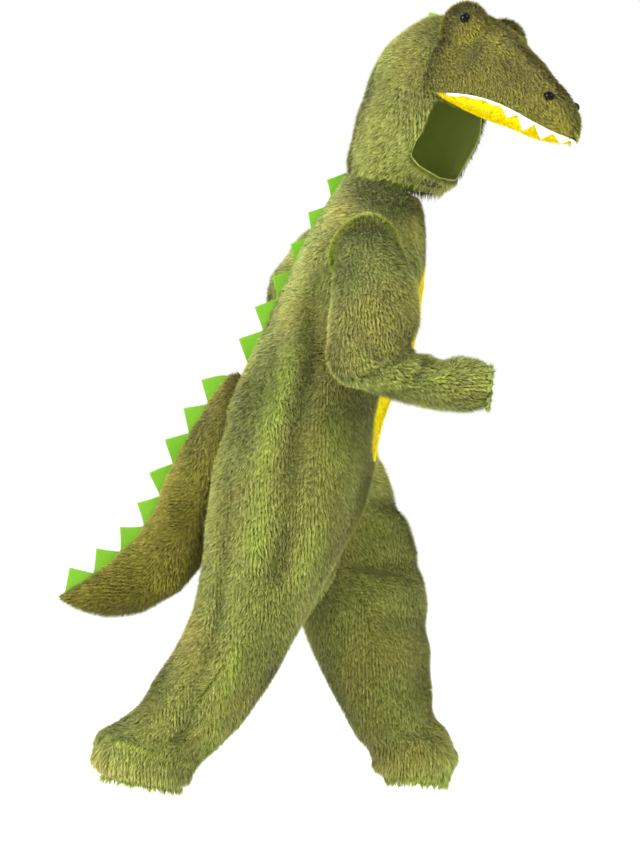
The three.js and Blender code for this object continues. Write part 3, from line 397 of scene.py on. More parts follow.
def fold_height(folds, side, row, angle, row_spacing, angle_spacing):
    height = np.zeros(np.broadcast(row, angle).shape)
    for half, row0, angle0, row1, angle1, width, deep in folds:
        if half != side:
            continue
        turn = (np.asarray(angle) - angle0 + 180) % 360 - 180
        line = np.array([(row1 - row0) * row_spacing, ((angle1 - angle0 + 180) % 360 - 180) * angle_spacing])
        here = [(row - row0) * row_spacing, turn * angle_spacing]
        along = np.clip((here[0] * line[0] + here[1] * line[1]) / (line @ line), 0, 1)
        distance = np.hypot(here[0] - along * line[0], here[1] - along * line[1]) / width
        uneven = 0.8 + 0.3 * np.sin(along * 7 + row0)
        height = height + deep * uneven * np.exp(-distance * distance)
    return height


def waviness(points, scale, seed):
    """Smooth noise from -1 to 1 at points in millimetres: a few crossed waves of about that length."""
    random = np.random.default_rng(seed)
    total = np.zeros(points.shape[:-1])
    for _ in range(7):
        direction = random.normal(size=3)
        direction /= np.linalg.norm(direction)
        length = scale * random.uniform(0.6, 1.6)
        total += np.sin(points @ direction * (2 * math.pi / length) + random.uniform(0, 2 * math.pi))
    return total / 3.2


def slack(part, points):
    """Height of the waves of loose cloth at points of a part."""
    height, length, seed = SLACK[part]
    return height * waviness(points, length, SEED + seed)


def unit(vectors):
    return vectors / np.maximum(np.linalg.norm(vectors, axis=-1, keepdims=True), 1e-9)


# A surface is a function of (row, angle) that gives points in millimetres in the row frame


def slopes(surface, row, angle, rows, step=(0.05, 1.0)):
    """Downward and sideways slope of a surface, from differences that stay inside its rows."""
    low = np.clip(row - step[0], *rows)
    high = np.clip(row + step[0], *rows)
    down = surface(high, angle) - surface(low, angle)
    across = surface(row, angle + step[1]) - surface(row, angle - step[1])
    return down, across


def facing(surface, rows, angles):
    """1 or -1: whether the cross product of a surface's slopes points out of it or into it."""
    row, angle = np.meshgrid(np.linspace(*rows, 9), np.linspace(*angles, 25), indexing="ij")
    points = surface(row, angle)
    down, across = np.gradient(points, axis=0), np.gradient(points, axis=1)
    outward = points - points.mean(axis=1, keepdims=True)
    return 1 if np.einsum("ijk,ijk->", np.cross(down, across), outward) > 0 else -1


def raised(surface, relief, rows, sign):
    """The surface moved out along its normal by a relief."""

    def moved(row, angle):
        down, across = slopes(surface, row, angle, rows)
        normal = unit(np.cross(down, across)) * sign
        return surface(row, angle) + normal * relief(row, angle)[..., None]

    return moved


class Patch:
    """A surface sampled on a grid, with outward normals and the direction in which its pile is combed."""

    def __init__(self, surface, row, angle, rows, angles, wrap=False, step=(0.05, 1.0)):
        self.points = surface(row, angle)
        down, across = slopes(surface, row, angle, rows, step)
        self.normals = unit(np.cross(down, across)) * facing(surface, rows, angles)
        self.down = unit(down)
        self.wrap = wrap
        self.row = row
        self.painted_fold_light = np.full(row.shape, 0.5)  # painted fold light: 0 for the painted shade of a trough of the cloth, 1 for the painted highlight of a ridge

    def grown(self, distance):
        return self.points + self.normals * np.asarray(distance)[..., None]


def new_mesh(name, points, faces):
    mesh = bpy.data.meshes.new(name)
    points = np.asarray(points, np.float32) * MM
    faces = np.asarray(faces, np.int32)
    mesh.vertices.add(len(points))
    mesh.vertices.foreach_set("co", points.ravel())
    mesh.loops.add(faces.size)
    mesh.loops.foreach_set("vertex_index", faces.ravel())
    mesh.polygons.add(len(faces))
    mesh.polygons.foreach_set("loop_start", np.arange(0, faces.size, faces.shape[1], dtype=np.int32))
    mesh.polygons.foreach_set("use_smooth", np.full(len(faces), True))
    mesh.update(calc_edges=True)
    return mesh


def add_piece(name, mesh, material):
    piece = in_scene(name, mesh)
    mesh.materials.append(MATERIALS[material])
    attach(piece, "root")
    return piece


def grid_faces(rows, columns, wrap, start=0, flip=False):
    i, k = np.meshgrid(np.arange(rows - 1), np.arange(columns if wrap else columns - 1), indexing="ij")
    following = (k + 1) % columns
    corners = [i * columns + k, i * columns + following, (i + 1) * columns + following, (i + 1) * columns + k]
    faces = np.stack(corners, -1).reshape(-1, 4) + start
    return faces[:, ::-1] if flip else faces


def slab(name, outer, inner, wrap):
    """A thin closed shell between two grids of points."""
    rows, columns = outer.shape[:2]
    across = outer[:-1, 1:] - outer[:-1, :-1]
    down = outer[1:, :-1] - outer[:-1, :-1]
    flip = np.einsum("ijk,ijk->", np.cross(across, down), (outer - inner)[:-1, :-1]) < 0
    count = rows * columns
    faces = [
        grid_faces(rows, columns, wrap, 0, flip),
        grid_faces(rows, columns, wrap, count, not flip),
    ]
    ends = [np.arange(columns), np.arange(columns) + (rows - 1) * columns]
    sides = [] if wrap else [np.arange(rows) * columns, np.arange(rows) * columns + columns - 1]
    for which, line in enumerate(ends + sides):
        following = np.roll(line, -1) if wrap and which < 2 else line[1:]
        before = line if wrap and which < 2 else line[:-1]
        rim = np.stack([before, before + count, following + count, following], -1)
        faces.append(rim if (which in (0, 3)) != flip else rim[:, ::-1])
    points = np.concatenate([outer.reshape(-1, 3), inner.reshape(-1, 3)])
    return new_mesh(name, points, np.concatenate(faces))


# Pile


def comb(patch, seed, style):
    """Blades of pile on a patch: roots, tips, sideways half widths, and what the material needs of each."""
    random = np.random.default_rng(seed)
    grids = (patch.points, patch.normals, patch.down, patch.painted_fold_light[..., None])
    if patch.wrap:
        grids = [np.concatenate([grid, grid[:, :1]], 1) for grid in grids]
    points, normals, down, painted_fold_light = grids
    a, b, c, d = points[:-1, :-1], points[:-1, 1:], points[1:, :-1], points[1:, 1:]
    near = np.linalg.norm(np.cross(b - a, c - a), axis=-1)
    far = np.linalg.norm(np.cross(d - b, d - c), axis=-1)
    area = (near + far) / 2
    count = int(area.sum() * DENSITY)
    chosen = random.choice(area.size, count, p=(area / area.sum()).ravel())
    i, k = np.unravel_index(chosen, area.shape)
    u, v = random.random((2, count, 1))

    def here(grid):
        upper = grid[i, k] * (1 - u) + grid[i, k + 1] * u
        lower = grid[i + 1, k] * (1 - u) + grid[i + 1, k + 1] * u
        return upper * (1 - v) + lower * v

    base = here(points)
    normal = unit(here(normals))
    flow = here(down)
    flow = unit(flow - normal * np.einsum("ij,ij->i", flow, normal)[:, None])
    across = unit(np.cross(flow, normal))
    swirl = SWIRL * waviness(base, SWIRL_LENGTH, seed + 1) + random.normal(0, SWIRL_OF_BLADE, count)
    flow = unit(flow * np.cos(swirl)[:, None] + across * np.sin(swirl)[:, None])
    across = np.cross(flow, normal)
    wobble = LOCK_WOBBLE * waviness(base, LOCK_WOBBLE_LENGTH, seed + 2)[:, None]
    lock = np.floor((base + wobble) / LOCK).astype(int)
    key = np.bitwise_xor.reduce(lock * np.array(LOCK_FACTORS), axis=1)
    shade = ((key * SHADE_FACTOR) % SHADES) / SHADES
    lift = np.radians(LIFT + LIFT_OF_LOCK * (shade - 0.5) + random.normal(0, LIFT_OF_BLADE, count))
    length = style["length"] * random.uniform(*BLADE_LENGTHS, count)
    row = patch.row[i, 0]
    length = length * style["shorten"](row)
    root = base - normal * style["sunk"](row)[:, None]
    lean = flow * np.cos(lift)[:, None] + normal * np.sin(lift)[:, None]
    lean = unit(lean - [0, 0, 1] * style["hang"](row)[:, None])
    tip = root + lean * length[:, None]
    centre = (lock + 0.5) * LOCK
    sideways = np.einsum("ij,ij->i", centre - base, across)
    tip += across * np.clip(GATHER * sideways, -GATHER_REACH, GATHER_REACH)[:, None]
    roll = random.normal(0, BLADE_ROLL, count)
    width = across * np.cos(roll)[:, None] + normal * np.sin(roll)[:, None]
    half = width * (BLADE_WIDTH / 2)
    kept = style["keep"](root)
    return [part[kept] for part in (root, tip, half, shade, random.random(count), here(painted_fold_light)[:, 0])]


def add_pile(name, patch, seed, style, material):
    root, tip, half, shade, strand, painted_fold_light = comb(patch, seed, style)
    count = len(root)
    points = np.stack([root - half, root + half, tip], 1).reshape(-1, 3)
    mesh = new_mesh(name, points, np.arange(3 * count).reshape(-1, 3))
    # per blade: its lock's random tone, a random strand value, and the painted fold light of the cloth under
    # it
    facts = {"lock": np.repeat(shade, 3), "strand": np.repeat(strand, 3), "painted_fold_light": np.repeat(painted_fold_light, 3)}
    facts["along"] = np.tile([0, 0, 1], count)
    for label, values in facts.items():
        attribute = mesh.attributes.new(label, "FLOAT", "POINT")
        attribute.data.foreach_set("value", values.astype(np.float32))
    return add_piece(name, mesh, material)


def always(value):
    return lambda row: np.full(np.shape(row), float(value))


def pile_style(**changes):
    """Long pile: its length, depth and hang at a row, and which blades are kept."""
    style = {
        "length": LONG_PILE, "shorten": always(1), "hang": always(HANG),
        "sunk": always(WALL - BACKING - ROOT_LIFT), "keep": lambda root: np.full(len(root), True),
    }
    return style | changes


def short_style(**changes):
    sunk = always(BELLY_WALL - BACKING - ROOT_LIFT)
    return pile_style(length=SHORT_PILE, sunk=sunk, hang=always(0), **changes)


def add_shell(name, patch, depth, material):
    """The cloth under a patch's pile, with its inner side at a depth below the surface."""
    mesh = slab(name, patch.grown(BACKING - depth), patch.grown(-depth), False)
    return add_piece(f"{name}_cloth", mesh, material)


# Body


def body_section(side, row):
    back_y, back_z, front_y, front_z, middle, half = section_at(BODY[side], row)
    return back_y, back_z, front_y, front_z, np.maximum(0, middle), half


def on_chord(section, sine):
    back_y, back_z, front_y, front_z = section[:4]
    return np.stack([
        (back_y + front_y) / 2 + (front_y - back_y) / 2 * sine,
        (back_z + front_z) / 2 + (front_z - back_z) / 2 * sine,
    ])


def body_point(side, row, degrees):
    row, degrees = paired(row, degrees)
    angle = np.radians(degrees)
    own = body_section(side, row)
    other = body_section(-side, row)
    across = own[4] + own[5] * np.cos(angle)
    sine = np.sin(angle)
    shared = (on_chord(own, sine) + on_chord(other, sine)) / 2
    share = np.maximum(smooth(across / LEG_BLEND), smooth((row - CROTCH) / 2))
    place = shared + (on_chord(own, sine) - shared) * share
    return np.stack([side * across, place[0], place[1]], -1)


def body_relief(side, row, degrees):
    section = body_section(side, row)
    across = section[4] + section[5] * np.cos(np.radians(degrees))
    folds = fold_height(BODY_FOLDS, side, row, degrees, ROW_SPACING, ANGLE_SPACING)
    gathered = smooth((row - CUFF) / (HEM - CUFF))
    waves = LEG_WAVE_HEIGHT * gathered * np.cos(LEG_WAVES * np.radians(degrees))
    waves = waves + CUFF_FULLNESS * smooth((row - CUFF + 0.8) / 0.8)
    loose = slack("body", body_point(side, row, degrees)) * smooth(across / FOLD_FADE)
    return folds * smooth(across / FOLD_FADE) + waves + loose * (1 - gathered)


def suit_surface(side):
    return raised(
        lambda row, angle: body_point(side, row, angle),
        lambda row, angle: body_relief(side, row, angle),
        (0, HEM),
        -side,
    )


def inner_angle(side, row):
    section = body_section(side, row)
    angle = np.degrees(np.arccos(np.clip(-section[4] / section[5], -1, 1)))
    return np.where(np.asarray(row) >= CROTCH, 180, angle)


def armhole_angle(row):
    reach = np.clip((row - ARMHOLE_MIDDLE) / ARMHOLE_HALF, -1, 1)
    return ARMHOLE["half_angle"] * np.sqrt(1 - reach * reach)


def on_armhole(turn, size=1.0):
    """Row and angle on the armhole's edge, a turn up from its front, or on a ring of another size."""
    return ARMHOLE_MIDDLE - np.sin(turn) * ARMHOLE_HALF * size, np.cos(turn) * ARMHOLE["half_angle"] * size


def belly_angle(side, row):
    middle = (BELLY["top"] + BELLY["bottom"]) / 2
    reach = (row - middle) / ((BELLY["bottom"] - BELLY["top"]) / 2)
    width = BELLY["half_width"] * np.sqrt(1 - np.clip(reach, -1, 1) ** 2)
    section = body_section(side, row)
    edge = np.degrees(np.arccos(np.clip((width - section[4]) / section[5], -1, 1)))
    return np.where(np.abs(reach) >= 1, inner_angle(side, row), edge)


def body_rows():
    return np.concatenate([np.linspace(0, 19.4, 130), np.linspace(19.5, HEM, 26)])


def fan(rows, start, end, columns):
    """Grids of rows and of angles from start to end."""
    share = np.linspace(0, 1, columns)[None, :]
    angle = start[:, None] + (end - start)[:, None] * share
    return np.repeat(rows[:, None], columns, 1), angle


def wall_depth(row):
    """Depth of the hollow's side below the surface, which is less at the elastic."""
    return WALL + (CUFF_WALL - WALL) * smooth((row - CUFF + 1) / 1.2)


def at_fringe(row):
    """0 on the leg, and 1 from the elastic down."""
    return smooth((row - CUFF + 1.6) / 1.2)


def suit_style():
    return pile_style(
        shorten=lambda row: 1 + 0.35 * at_fringe(row),
        sunk=lambda row: wall_depth(row) - BACKING - ROOT_LIFT,
        hang=lambda row: HANG + 0.7 * at_fringe(row),
    )


def suit_painted_fold_light(side, row, angle):
    """Painted fold light: painted shade in the troughs of the folds, a painted highlight on their ridges and
    along the ridge of the armhole's seam, and paler towards the hem.
    """
    folds = fold_height(BODY_FOLDS, side, row, angle, ROW_SPACING, ANGLE_SPACING)
    rise = (row - ARMHOLE_MIDDLE) / ARMHOLE_HALF
    from_armhole = np.hypot(rise, angle / ARMHOLE["half_angle"])
    ridge_highlight = 0.5 * np.exp(-(((from_armhole - 1.12) / 0.14) ** 2)) * (rise < 0.5)
    hem = 0.35 * smooth((row - CUFF) / 0.8)
    return np.clip(0.5 + folds / PAINTED_FOLD_LIGHT_SPAN["suit"] + ridge_highlight + hem, 0, 1)


def add_suit_panel(name, side, start, end, columns, seed):
    rows = body_rows()
    row, angle = fan(rows, start(rows), end(rows), columns)
    patch = Patch(suit_surface(side), row, angle, (0, HEM), (-80, 80))
    # painted fold light on the panel's pile
    patch.painted_fold_light = suit_painted_fold_light(side, row, angle)
    shell = add_shell(name, patch, wall_depth(row), "green_cloth")
    pile = add_pile(f"{name}_pile", patch, seed, suit_style(), "green_pile")
    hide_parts(*(f"{name}_{band}" for band in BANDS))
    return shell, pile


def add_suit():
    for side, word in ((RIGHT, "right"), (LEFT, "left")):
        front = add_suit_panel(
            f"suit_front_{word}", side, lambda rows, s=side: belly_angle(s, rows),
            armhole_angle, 40, SEED + 20 + side,
        )
        back = add_suit_panel(
            f"suit_back_{word}", side, lambda rows: -armhole_angle(rows),
            lambda rows, s=side: -inner_angle(s, rows), 40, SEED + 30 + side,
        )


# Sleeves


def ring_point(side, table, place, turn):
    x, back_y, back_z, front_y, front_z, across, lean = section_at(table, place)
    forward_y, forward_z = (front_y - back_y) / 2, (front_z - back_z) / 2
    length = np.hypot(forward_y, forward_z)
    rise_y, rise_z = forward_z / length, -forward_y / length
    lean = np.radians(lean)
    out = across * np.sin(turn)
    return np.stack([
        x + side * np.cos(lean) * out,
        (back_y + front_y) / 2 + forward_y * np.cos(turn) + rise_y * np.sin(lean) * out,
        (back_z + front_z) / 2 + forward_z * np.cos(turn) + rise_z * np.sin(lean) * out,
    ], -1)


def sleeve_surface(side, table, folds, twist):
    """Rows are rings from -1 at the armhole; angles go once round, from the top down the front."""
    body = suit_surface(side)
    last = len(table) - 1

    def plain(row, angle):
        row, angle = paired(row, angle)
        turn = math.pi / 2 - np.radians(angle)
        ring = ring_point(side, table, np.maximum(row, 0), turn + math.radians(twist))
        hole = body(*on_armhole(turn))
        toward = np.clip(-row, 0, 1)[..., None]
        return ring * (1 - toward) + hole * toward

    def relief(row, angle):
        degrees = 90 - angle + twist
        height = fold_height(folds, side, row, degrees, RING_SPACING, RING_ANGLE_SPACING)
        waves = SLEEVE_WAVE_HEIGHT * np.cos(SLEEVE_WAVES * np.radians(degrees))
        waves = waves * smooth((row - last + 2) / 1.5)
        loose = slack("sleeve", plain(row, angle)) * smooth(last - 1.5 - row)
        head = SLEEVE_HEAD_RIDGE * np.exp(-(((row + 0.4) / 0.35) ** 2))
        full = SLEEVE_CUFF_FULLNESS * smooth(row - last + 2)
        return (height + loose) * smooth(row + 1) + waves + head + full

    return raised(plain, relief, (-1, last), facing(plain, (-1, last), (0, 360)))


def armhole_tuck(side, angles, depth):
    """The sleeve's edge in the armhole's seam, a little way under the body's cloth."""
    row, angle = on_armhole(math.pi / 2 - np.radians(angles)[None, :], ARMHOLE_TUCK)
    return Patch(suit_surface(side), row, angle, (0, HEM), (-80, 80)).grown(-depth)


def add_sleeve(name, side, table, folds, twist, seed):
    last = len(table) - 1
    surface = sleeve_surface(side, table, folds, twist)
    rows = np.concatenate([np.linspace(-1, last - 2.05, 84), np.linspace(last - 2, last, 18)])
    angles = np.linspace(0, 360, 72, endpoint=False)
    row, angle = np.meshgrid(rows, angles, indexing="ij")
    patch = Patch(surface, row, angle, (-1, last), (0, 360), wrap=True)
    # painted fold light of the sleeve: painted shade in the troughs, a painted highlight on the ridges, on
    # the sleeve's head and towards the cuff
    painted_fold_lights = fold_height(folds, side, row, 90 - angle + twist, RING_SPACING, RING_ANGLE_SPACING)
    painted_fold_lights = painted_fold_lights / PAINTED_FOLD_LIGHT_SPAN["sleeve"]
    patch.painted_fold_light = np.clip(0.5 + painted_fold_lights + 0.25 * smooth(1 - row) + 0.2 * smooth(row - last + 3), 0, 1)
    depth = WALL + (CUFF_WALL - WALL) * smooth((row - last + 3) / 2)
    outer = np.concatenate([armhole_tuck(side, angles, WALL + 0.3), patch.grown(BACKING - depth)])
    inner = np.concatenate([armhole_tuck(side, angles, WALL + 0.3 + BACKING), patch.grown(-depth)])
    mesh = slab(name, outer, inner, True)
    shell = add_piece(f"{name}_cloth", mesh, "green_cloth")
    style = pile_style(
        shorten=lambda place: 0.8 + 0.2 * smooth(place + 1) + 0.15 * smooth((place - last + 2.5) / 2),
        sunk=lambda place: 0.5 + (WALL - 2.9) * smooth((place + 1) / 0.7)
        + (CUFF_WALL - WALL) * smooth((place - last + 3) / 2),
    )
    pile = add_pile(f"{name}_pile", patch, seed, style, "green_pile")
    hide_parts(f"{name}_upper", f"{name}_lower")


# Belly


def add_belly(seed):
    halves = {side: suit_surface(side) for side in (RIGHT, LEFT)}

    def surface(row, reach):
        row, reach = paired(row, reach)
        both = []
        for side in (RIGHT, LEFT):
            edge, middle = belly_angle(RIGHT, row), inner_angle(side, row)
            both.append(halves[side](row, middle + (edge - middle) * np.clip(side * reach, 0, 1)))
        return np.where((reach < 0)[..., None], both[0], both[1])

    limits = (BELLY["top"] + 0.02, BELLY["bottom"] - 0.02)
    middle, half = sum(limits) / 2, (limits[1] - limits[0]) / 2
    rows = middle - half * np.cos(np.linspace(0, math.pi, 72))
    row, reach = np.meshgrid(rows, np.linspace(-1, 1, 41), indexing="ij")
    patch = Patch(surface, row, reach, limits, (-1, 1), step=(0.05, 0.04))
    shell = add_shell("belly_panel", patch, BELLY_WALL, "yellow_cloth")
    pile = add_pile("belly_panel_pile", patch, seed, short_style(), "yellow_pile")
    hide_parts("belly_panel")


# Tail


def tail_surface(side):
    def surface(place, degrees):
        place, degrees = paired(place, degrees)
        ridge_y, ridge_z, under_y, under_z, half = section_at(TAIL, place)
        angle = np.radians(degrees)
        down = (1 - np.cos(angle)) / 2
        across = half * with_sign(np.sin(angle), 0.9)
        return np.stack([
            side * across, ridge_y + (under_y - ridge_y) * down, ridge_z + (under_z - ridge_z) * down,
        ], -1)

    return surface


def tail_depth(place):
    """Depth of the cloth below the surface, which is less near the tail's tip."""
    return np.minimum(WALL - BACKING, 0.6 * section_at(TAIL, place)[4])


def add_tail(side, word, seed):
    last = len(TAIL) - 1
    plain = tail_surface(side)
    limits = (1, last)
    surface = raised(
        plain,
        lambda row, angle: slack("tail", plain(row, angle)) * smooth(last - row),
        limits,
        facing(plain, limits, (5, 175)),
    )
    row, angle = np.meshgrid(np.linspace(1, last, 90), np.linspace(0, 180, 30), indexing="ij")
    patch = Patch(surface, row, angle, limits, (0, 180))
    skin = patch.grown(-tail_depth(row))
    skin[..., 0] = side * np.maximum(side * skin[..., 0], 0.15)
    flat = skin * [0, 1, 1] + [side * 0.1, 0, 0]
    name = f"tail_{word}"
    shell = add_piece(f"{name}_cloth", slab(name, skin, flat, False), "olive_cloth")
    style = pile_style(
        shorten=lambda place: 1 - 0.4 * smooth(place - last + 1), sunk=tail_depth,
    )
    add_pile(f"{name}_pile", patch, seed, style, "tail_pile")
    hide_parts(name)


# Hood, in its own frame: x to its left, y backwards, z up


def hood_matrix():
    turn, nod, tilt = (math.radians(HOOD_TURN[name]) for name in ("turn", "nod", "tilt"))
    rotation = Matrix.Rotation(turn, 3, "Z") @ Matrix.Rotation(nod, 3, "X") @ Matrix.Rotation(tilt, 3, "Y")
    return np.array(rotation)


HOOD_ROTATION = hood_matrix()


def placed(points):
    """Points of the hood's frame in the row frame."""
    return points @ HOOD_ROTATION.T + np.array(HOOD_PLACE, float)


def unplaced(points):
    """Points of the row frame in the hood's frame."""
    return (points - np.array(HOOD_PLACE, float)) @ HOOD_ROTATION


def hood_surface(side):
    def surface(row, degrees):
        row, degrees = paired(row, degrees)
        back_f, back_u, front_f, front_u, half = section_at(HOOD, row)
        angle = np.radians(degrees)
        power = 2 / HOOD_SQUARENESS
        sine = with_sign(np.sin(angle), power)
        cosine = with_sign(np.cos(angle), power)
        return placed(np.stack([
            side * np.maximum(0, half) * cosine,
            -((front_f + back_f) / 2 + (front_f - back_f) / 2 * sine),
            (front_u + back_u) / 2 + (front_u - back_u) / 2 * sine,
        ], -1))

    return surface


def face_angle(row):
    middle = (FACE["top"] + FACE["bottom"]) / 2
    reach = np.abs(row - middle) / ((FACE["top"] - FACE["bottom"]) / 2)
    power = np.where(row < middle, FACE["chin_squareness"], FACE["brow_squareness"])
    width = FACE["half_width"] * np.maximum(0, 1 - reach**power) ** (1 / power)
    half = section_at(HOOD, row)[4]
    cosine = np.minimum(1, width / half) ** (HOOD_SQUARENESS / 2)
    return np.where(reach >= 1, 90, np.degrees(np.arccos(cosine)))


HOOD_FOLDS = [
    # row and angle of each end, with 0 at the side, 90 at the front and -90 behind
    [RIGHT, 0.3, 30, 2.2, 12, 14, -4],
    [RIGHT, 0.2, 62, 1.2, 40, 12, -4],
    [RIGHT, 0.5, -30, 2.6, -22, 18, -3],
    [LEFT, 0.3, 34, 2, 18, 14, -4],
    [LEFT, 0.4, -36, 2.4, -24, 18, -3],
]
HOOD_ROW_SPACING = 32
HOOD_ANGLE_SPACING = 1.5


def add_hood_half(side, word, seed):
    last = len(HOOD) - 1
    limits = (0, last - 0.05)
    plain = hood_surface(side)

    def relief(row, angle):
        folds = fold_height(HOOD_FOLDS, side, row, angle, HOOD_ROW_SPACING, HOOD_ANGLE_SPACING)
        loose = slack("hood", plain(row, angle))
        near_middle = smooth((90 - np.abs(angle)) / 25)
        return (folds + loose * smooth(last - row)) * near_middle

    surface = raised(plain, relief, limits, facing(plain, limits, (-80, 80)))
    rows = np.unique(np.concatenate([np.linspace(0, limits[1], 84), np.linspace(4.4, FACE["top"], 14)]))
    row, angle = fan(rows, face_angle(rows), np.full(len(rows), -90.0), 44)
    patch = Patch(surface, row, angle, limits, (-80, 80), step=(0.05, 2.0))
    patch.down = -patch.down
    name = f"hood_{word}"
    shell = add_shell(name, patch, WALL, "green_cloth")
    style = pile_style(
        shorten=lambda place: 1 + 0.4 * smooth(1 - place / 0.6),
        hang=lambda place: HANG + 0.4 * smooth(1 - place / 0.6),
    )
    pile = add_pile(f"{name}_pile", patch, seed, style, "green_pile")
    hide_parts(name)


def hood_front(x, up):
    """How far forward the hood's surface is at a place across and a height, in the hood's frame."""
    heights = np.array([(row[1] + row[3]) / 2 for row in HOOD], float)
    row = np.interp(up, heights, np.arange(len(HOOD)))
    back_f, _, front_f, _, half = section_at(HOOD, row)
    share = np.clip(np.abs(x) / np.maximum(half, 1), 0, 1)
    fullness = (1 - share**HOOD_SQUARENESS) ** (1 / HOOD_SQUARENESS)
    deep = (front_f + back_f) / 2 + (front_f - back_f) / 2 * fullness
    outside = (np.abs(x) > half) | (up > heights[-1])
    return np.where(outside, -1000, deep)


# Snout, palate and teeth


def snout_local(place, degrees):
    place, degrees = paired(place, degrees)
    forward, half, top, lip, _ = section_at(SNOUT, place)
    angle = np.radians(degrees)
    power = 2 / SNOUT_SQUARENESS
    cosine = with_sign(np.cos(angle), power)
    rise = with_sign(np.sin(angle), power)
    return np.stack([half * cosine, -forward, lip + (top - lip) * rise], -1)


def palate_local(place, degrees):
    place, degrees = paired(place, degrees)
    forward, half, _, lip, deep = section_at(SNOUT, place)
    angle = np.radians(degrees)
    across = (half - FELT - 2 * LIP_GAP) * np.cos(angle)
    drop = deep * with_sign(np.sin(angle), 0.8)
    return np.stack([across, -forward, lip - LIP_GAP - drop], -1)


def clear_of_hood(world):
    """World points moved forward out of the hood."""
    local = unplaced(world)
    front = hood_front(local[..., 0], local[..., 2]) - WALL
    local[..., 1] = np.minimum(local[..., 1], -front)
    return placed(local)


def inside_head(world, margin=2):
    """True for world points inside the hood or the snout, by more than a margin."""
    local = unplaced(world)
    in_hood = -local[..., 1] < hood_front(local[..., 0], local[..., 2]) - WALL - margin
    forward, half, top, lip, _ = np.asarray(SNOUT, float).T
    at = [np.interp(-local[..., 1], forward, column) for column in (half, top, lip)]
    across = np.clip(np.abs(local[..., 0]) / (at[0] - WALL - margin), 0, 1)
    arch = (1 - across**SNOUT_SQUARENESS) ** (1 / SNOUT_SQUARENESS)
    ceiling = at[2] + (at[1] - WALL - margin - at[2]) * arch
    between = (local[..., 2] < ceiling) & (local[..., 2] > at[2])
    in_snout = between & (across < 1) & (-local[..., 1] < forward[-1])
    return in_hood, in_snout


def snout_depth(place):
    """Depth of the cloth below the surface, which is less near the snout's tip."""
    return np.minimum(WALL - BACKING, 0.5 * section_at(SNOUT, place)[1])


def add_snout(seed):
    last = len(SNOUT) - 1
    limits = (0, last)

    def plain(place, degrees):
        return placed(snout_local(place, degrees))

    def relief(place, degrees):
        loose = slack("snout", plain(place, degrees)) * smooth(last - place)
        return loose + fold_height(SNOUT_FOLDS, 1, place, degrees, *SNOUT_SPACING)

    surface = raised(plain, relief, limits, facing(plain, limits, (10, 170)))
    row, angle = np.meshgrid(np.linspace(0, last, 74), np.linspace(0, 180, 52), indexing="ij")
    patch = Patch(surface, row, angle, limits, (0, 180), step=(0.05, 1.5))
    # painted fold light of the snout: painted shade in the troughs, a painted highlight on the ridges and
    # along the edges of the lips
    painted_fold_lights = fold_height(SNOUT_FOLDS, 1, row, angle, *SNOUT_SPACING) / PAINTED_FOLD_LIGHT_SPAN["snout"]
    patch.painted_fold_light = np.clip(0.5 + painted_fold_lights + 0.2 * smooth(1 - np.abs(np.sin(np.radians(angle))) * 3), 0, 1)
    skin = patch.grown(-snout_depth(row))
    local = unplaced(skin)
    lip = section_at(SNOUT, row)[3]
    local[..., 2] = np.maximum(local[..., 2], lip + 0.2)
    skin = clear_of_hood(placed(local))
    flat = local.copy()
    flat[..., 2] = lip
    shell = add_piece("snout_cloth", slab("snout", skin, clear_of_hood(placed(flat)), False),
                      "olive_cloth")
    style = pile_style(
        shorten=lambda place: 1 - 0.25 * smooth(place - last + 1),
        sunk=snout_depth,
        hang=always(0.5),
        keep=lambda root: ~inside_head(root)[0],
    )
    add_pile("snout_pile", patch, seed, style, "olive_pile")
    tip_cap(patch, last, seed)
    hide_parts("snout")


def tip_cap(patch, last, seed):
    """Pile on the blunt end of the snout."""
    forward, half, top, lip, _ = section_at(SNOUT, last)

    def surface(share, degrees):
        share, degrees = paired(share, degrees)
        rim = snout_local(last, degrees)
        middle = np.array([0, -forward - 3, (top + lip) / 2])
        return placed(rim + (middle - rim) * share[..., None])

    share, angle = np.meshgrid(np.linspace(0, 0.9, 5), np.linspace(0, 180, 12), indexing="ij")
    cap = Patch(surface, share, angle, (0, 1), (10, 170), step=(0.05, 2.0))
    front = -HOOD_ROTATION[:, 1]
    cap.normals = np.broadcast_to(front, cap.normals.shape)
    cap.down = unit(np.broadcast_to(-HOOD_ROTATION[:, 2], cap.down.shape) + 0.1 * cap.down)
    style = pile_style(sunk=always(0.5), length=TIP_PILE)
    add_pile("snout_tip_pile", cap, seed + 1, style, "olive_pile")


def add_palate(seed):
    limits = (1.8, 9.5)

    def plain(place, degrees):
        return placed(palate_local(place, degrees))

    row, angle = np.meshgrid(np.linspace(*limits, 56), np.linspace(0, 180, 40), indexing="ij")
    patch = Patch(plain, row, angle, limits, (10, 170), step=(0.05, 2.0))
    skin = clear_of_hood(patch.grown(-BACKING))
    local = palate_local(row, angle)
    local[..., 2] = section_at(SNOUT, row)[3] - LIP_GAP + 0.4
    shell = add_piece("palate_cloth", slab("palate", skin, clear_of_hood(placed(local)), False),
                      "yellow_cloth")
    style = short_style(keep=lambda root: ~inside_head(root)[0])
    add_pile("palate_pile", patch, seed, style, "yellow_pile")
    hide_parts("palate")


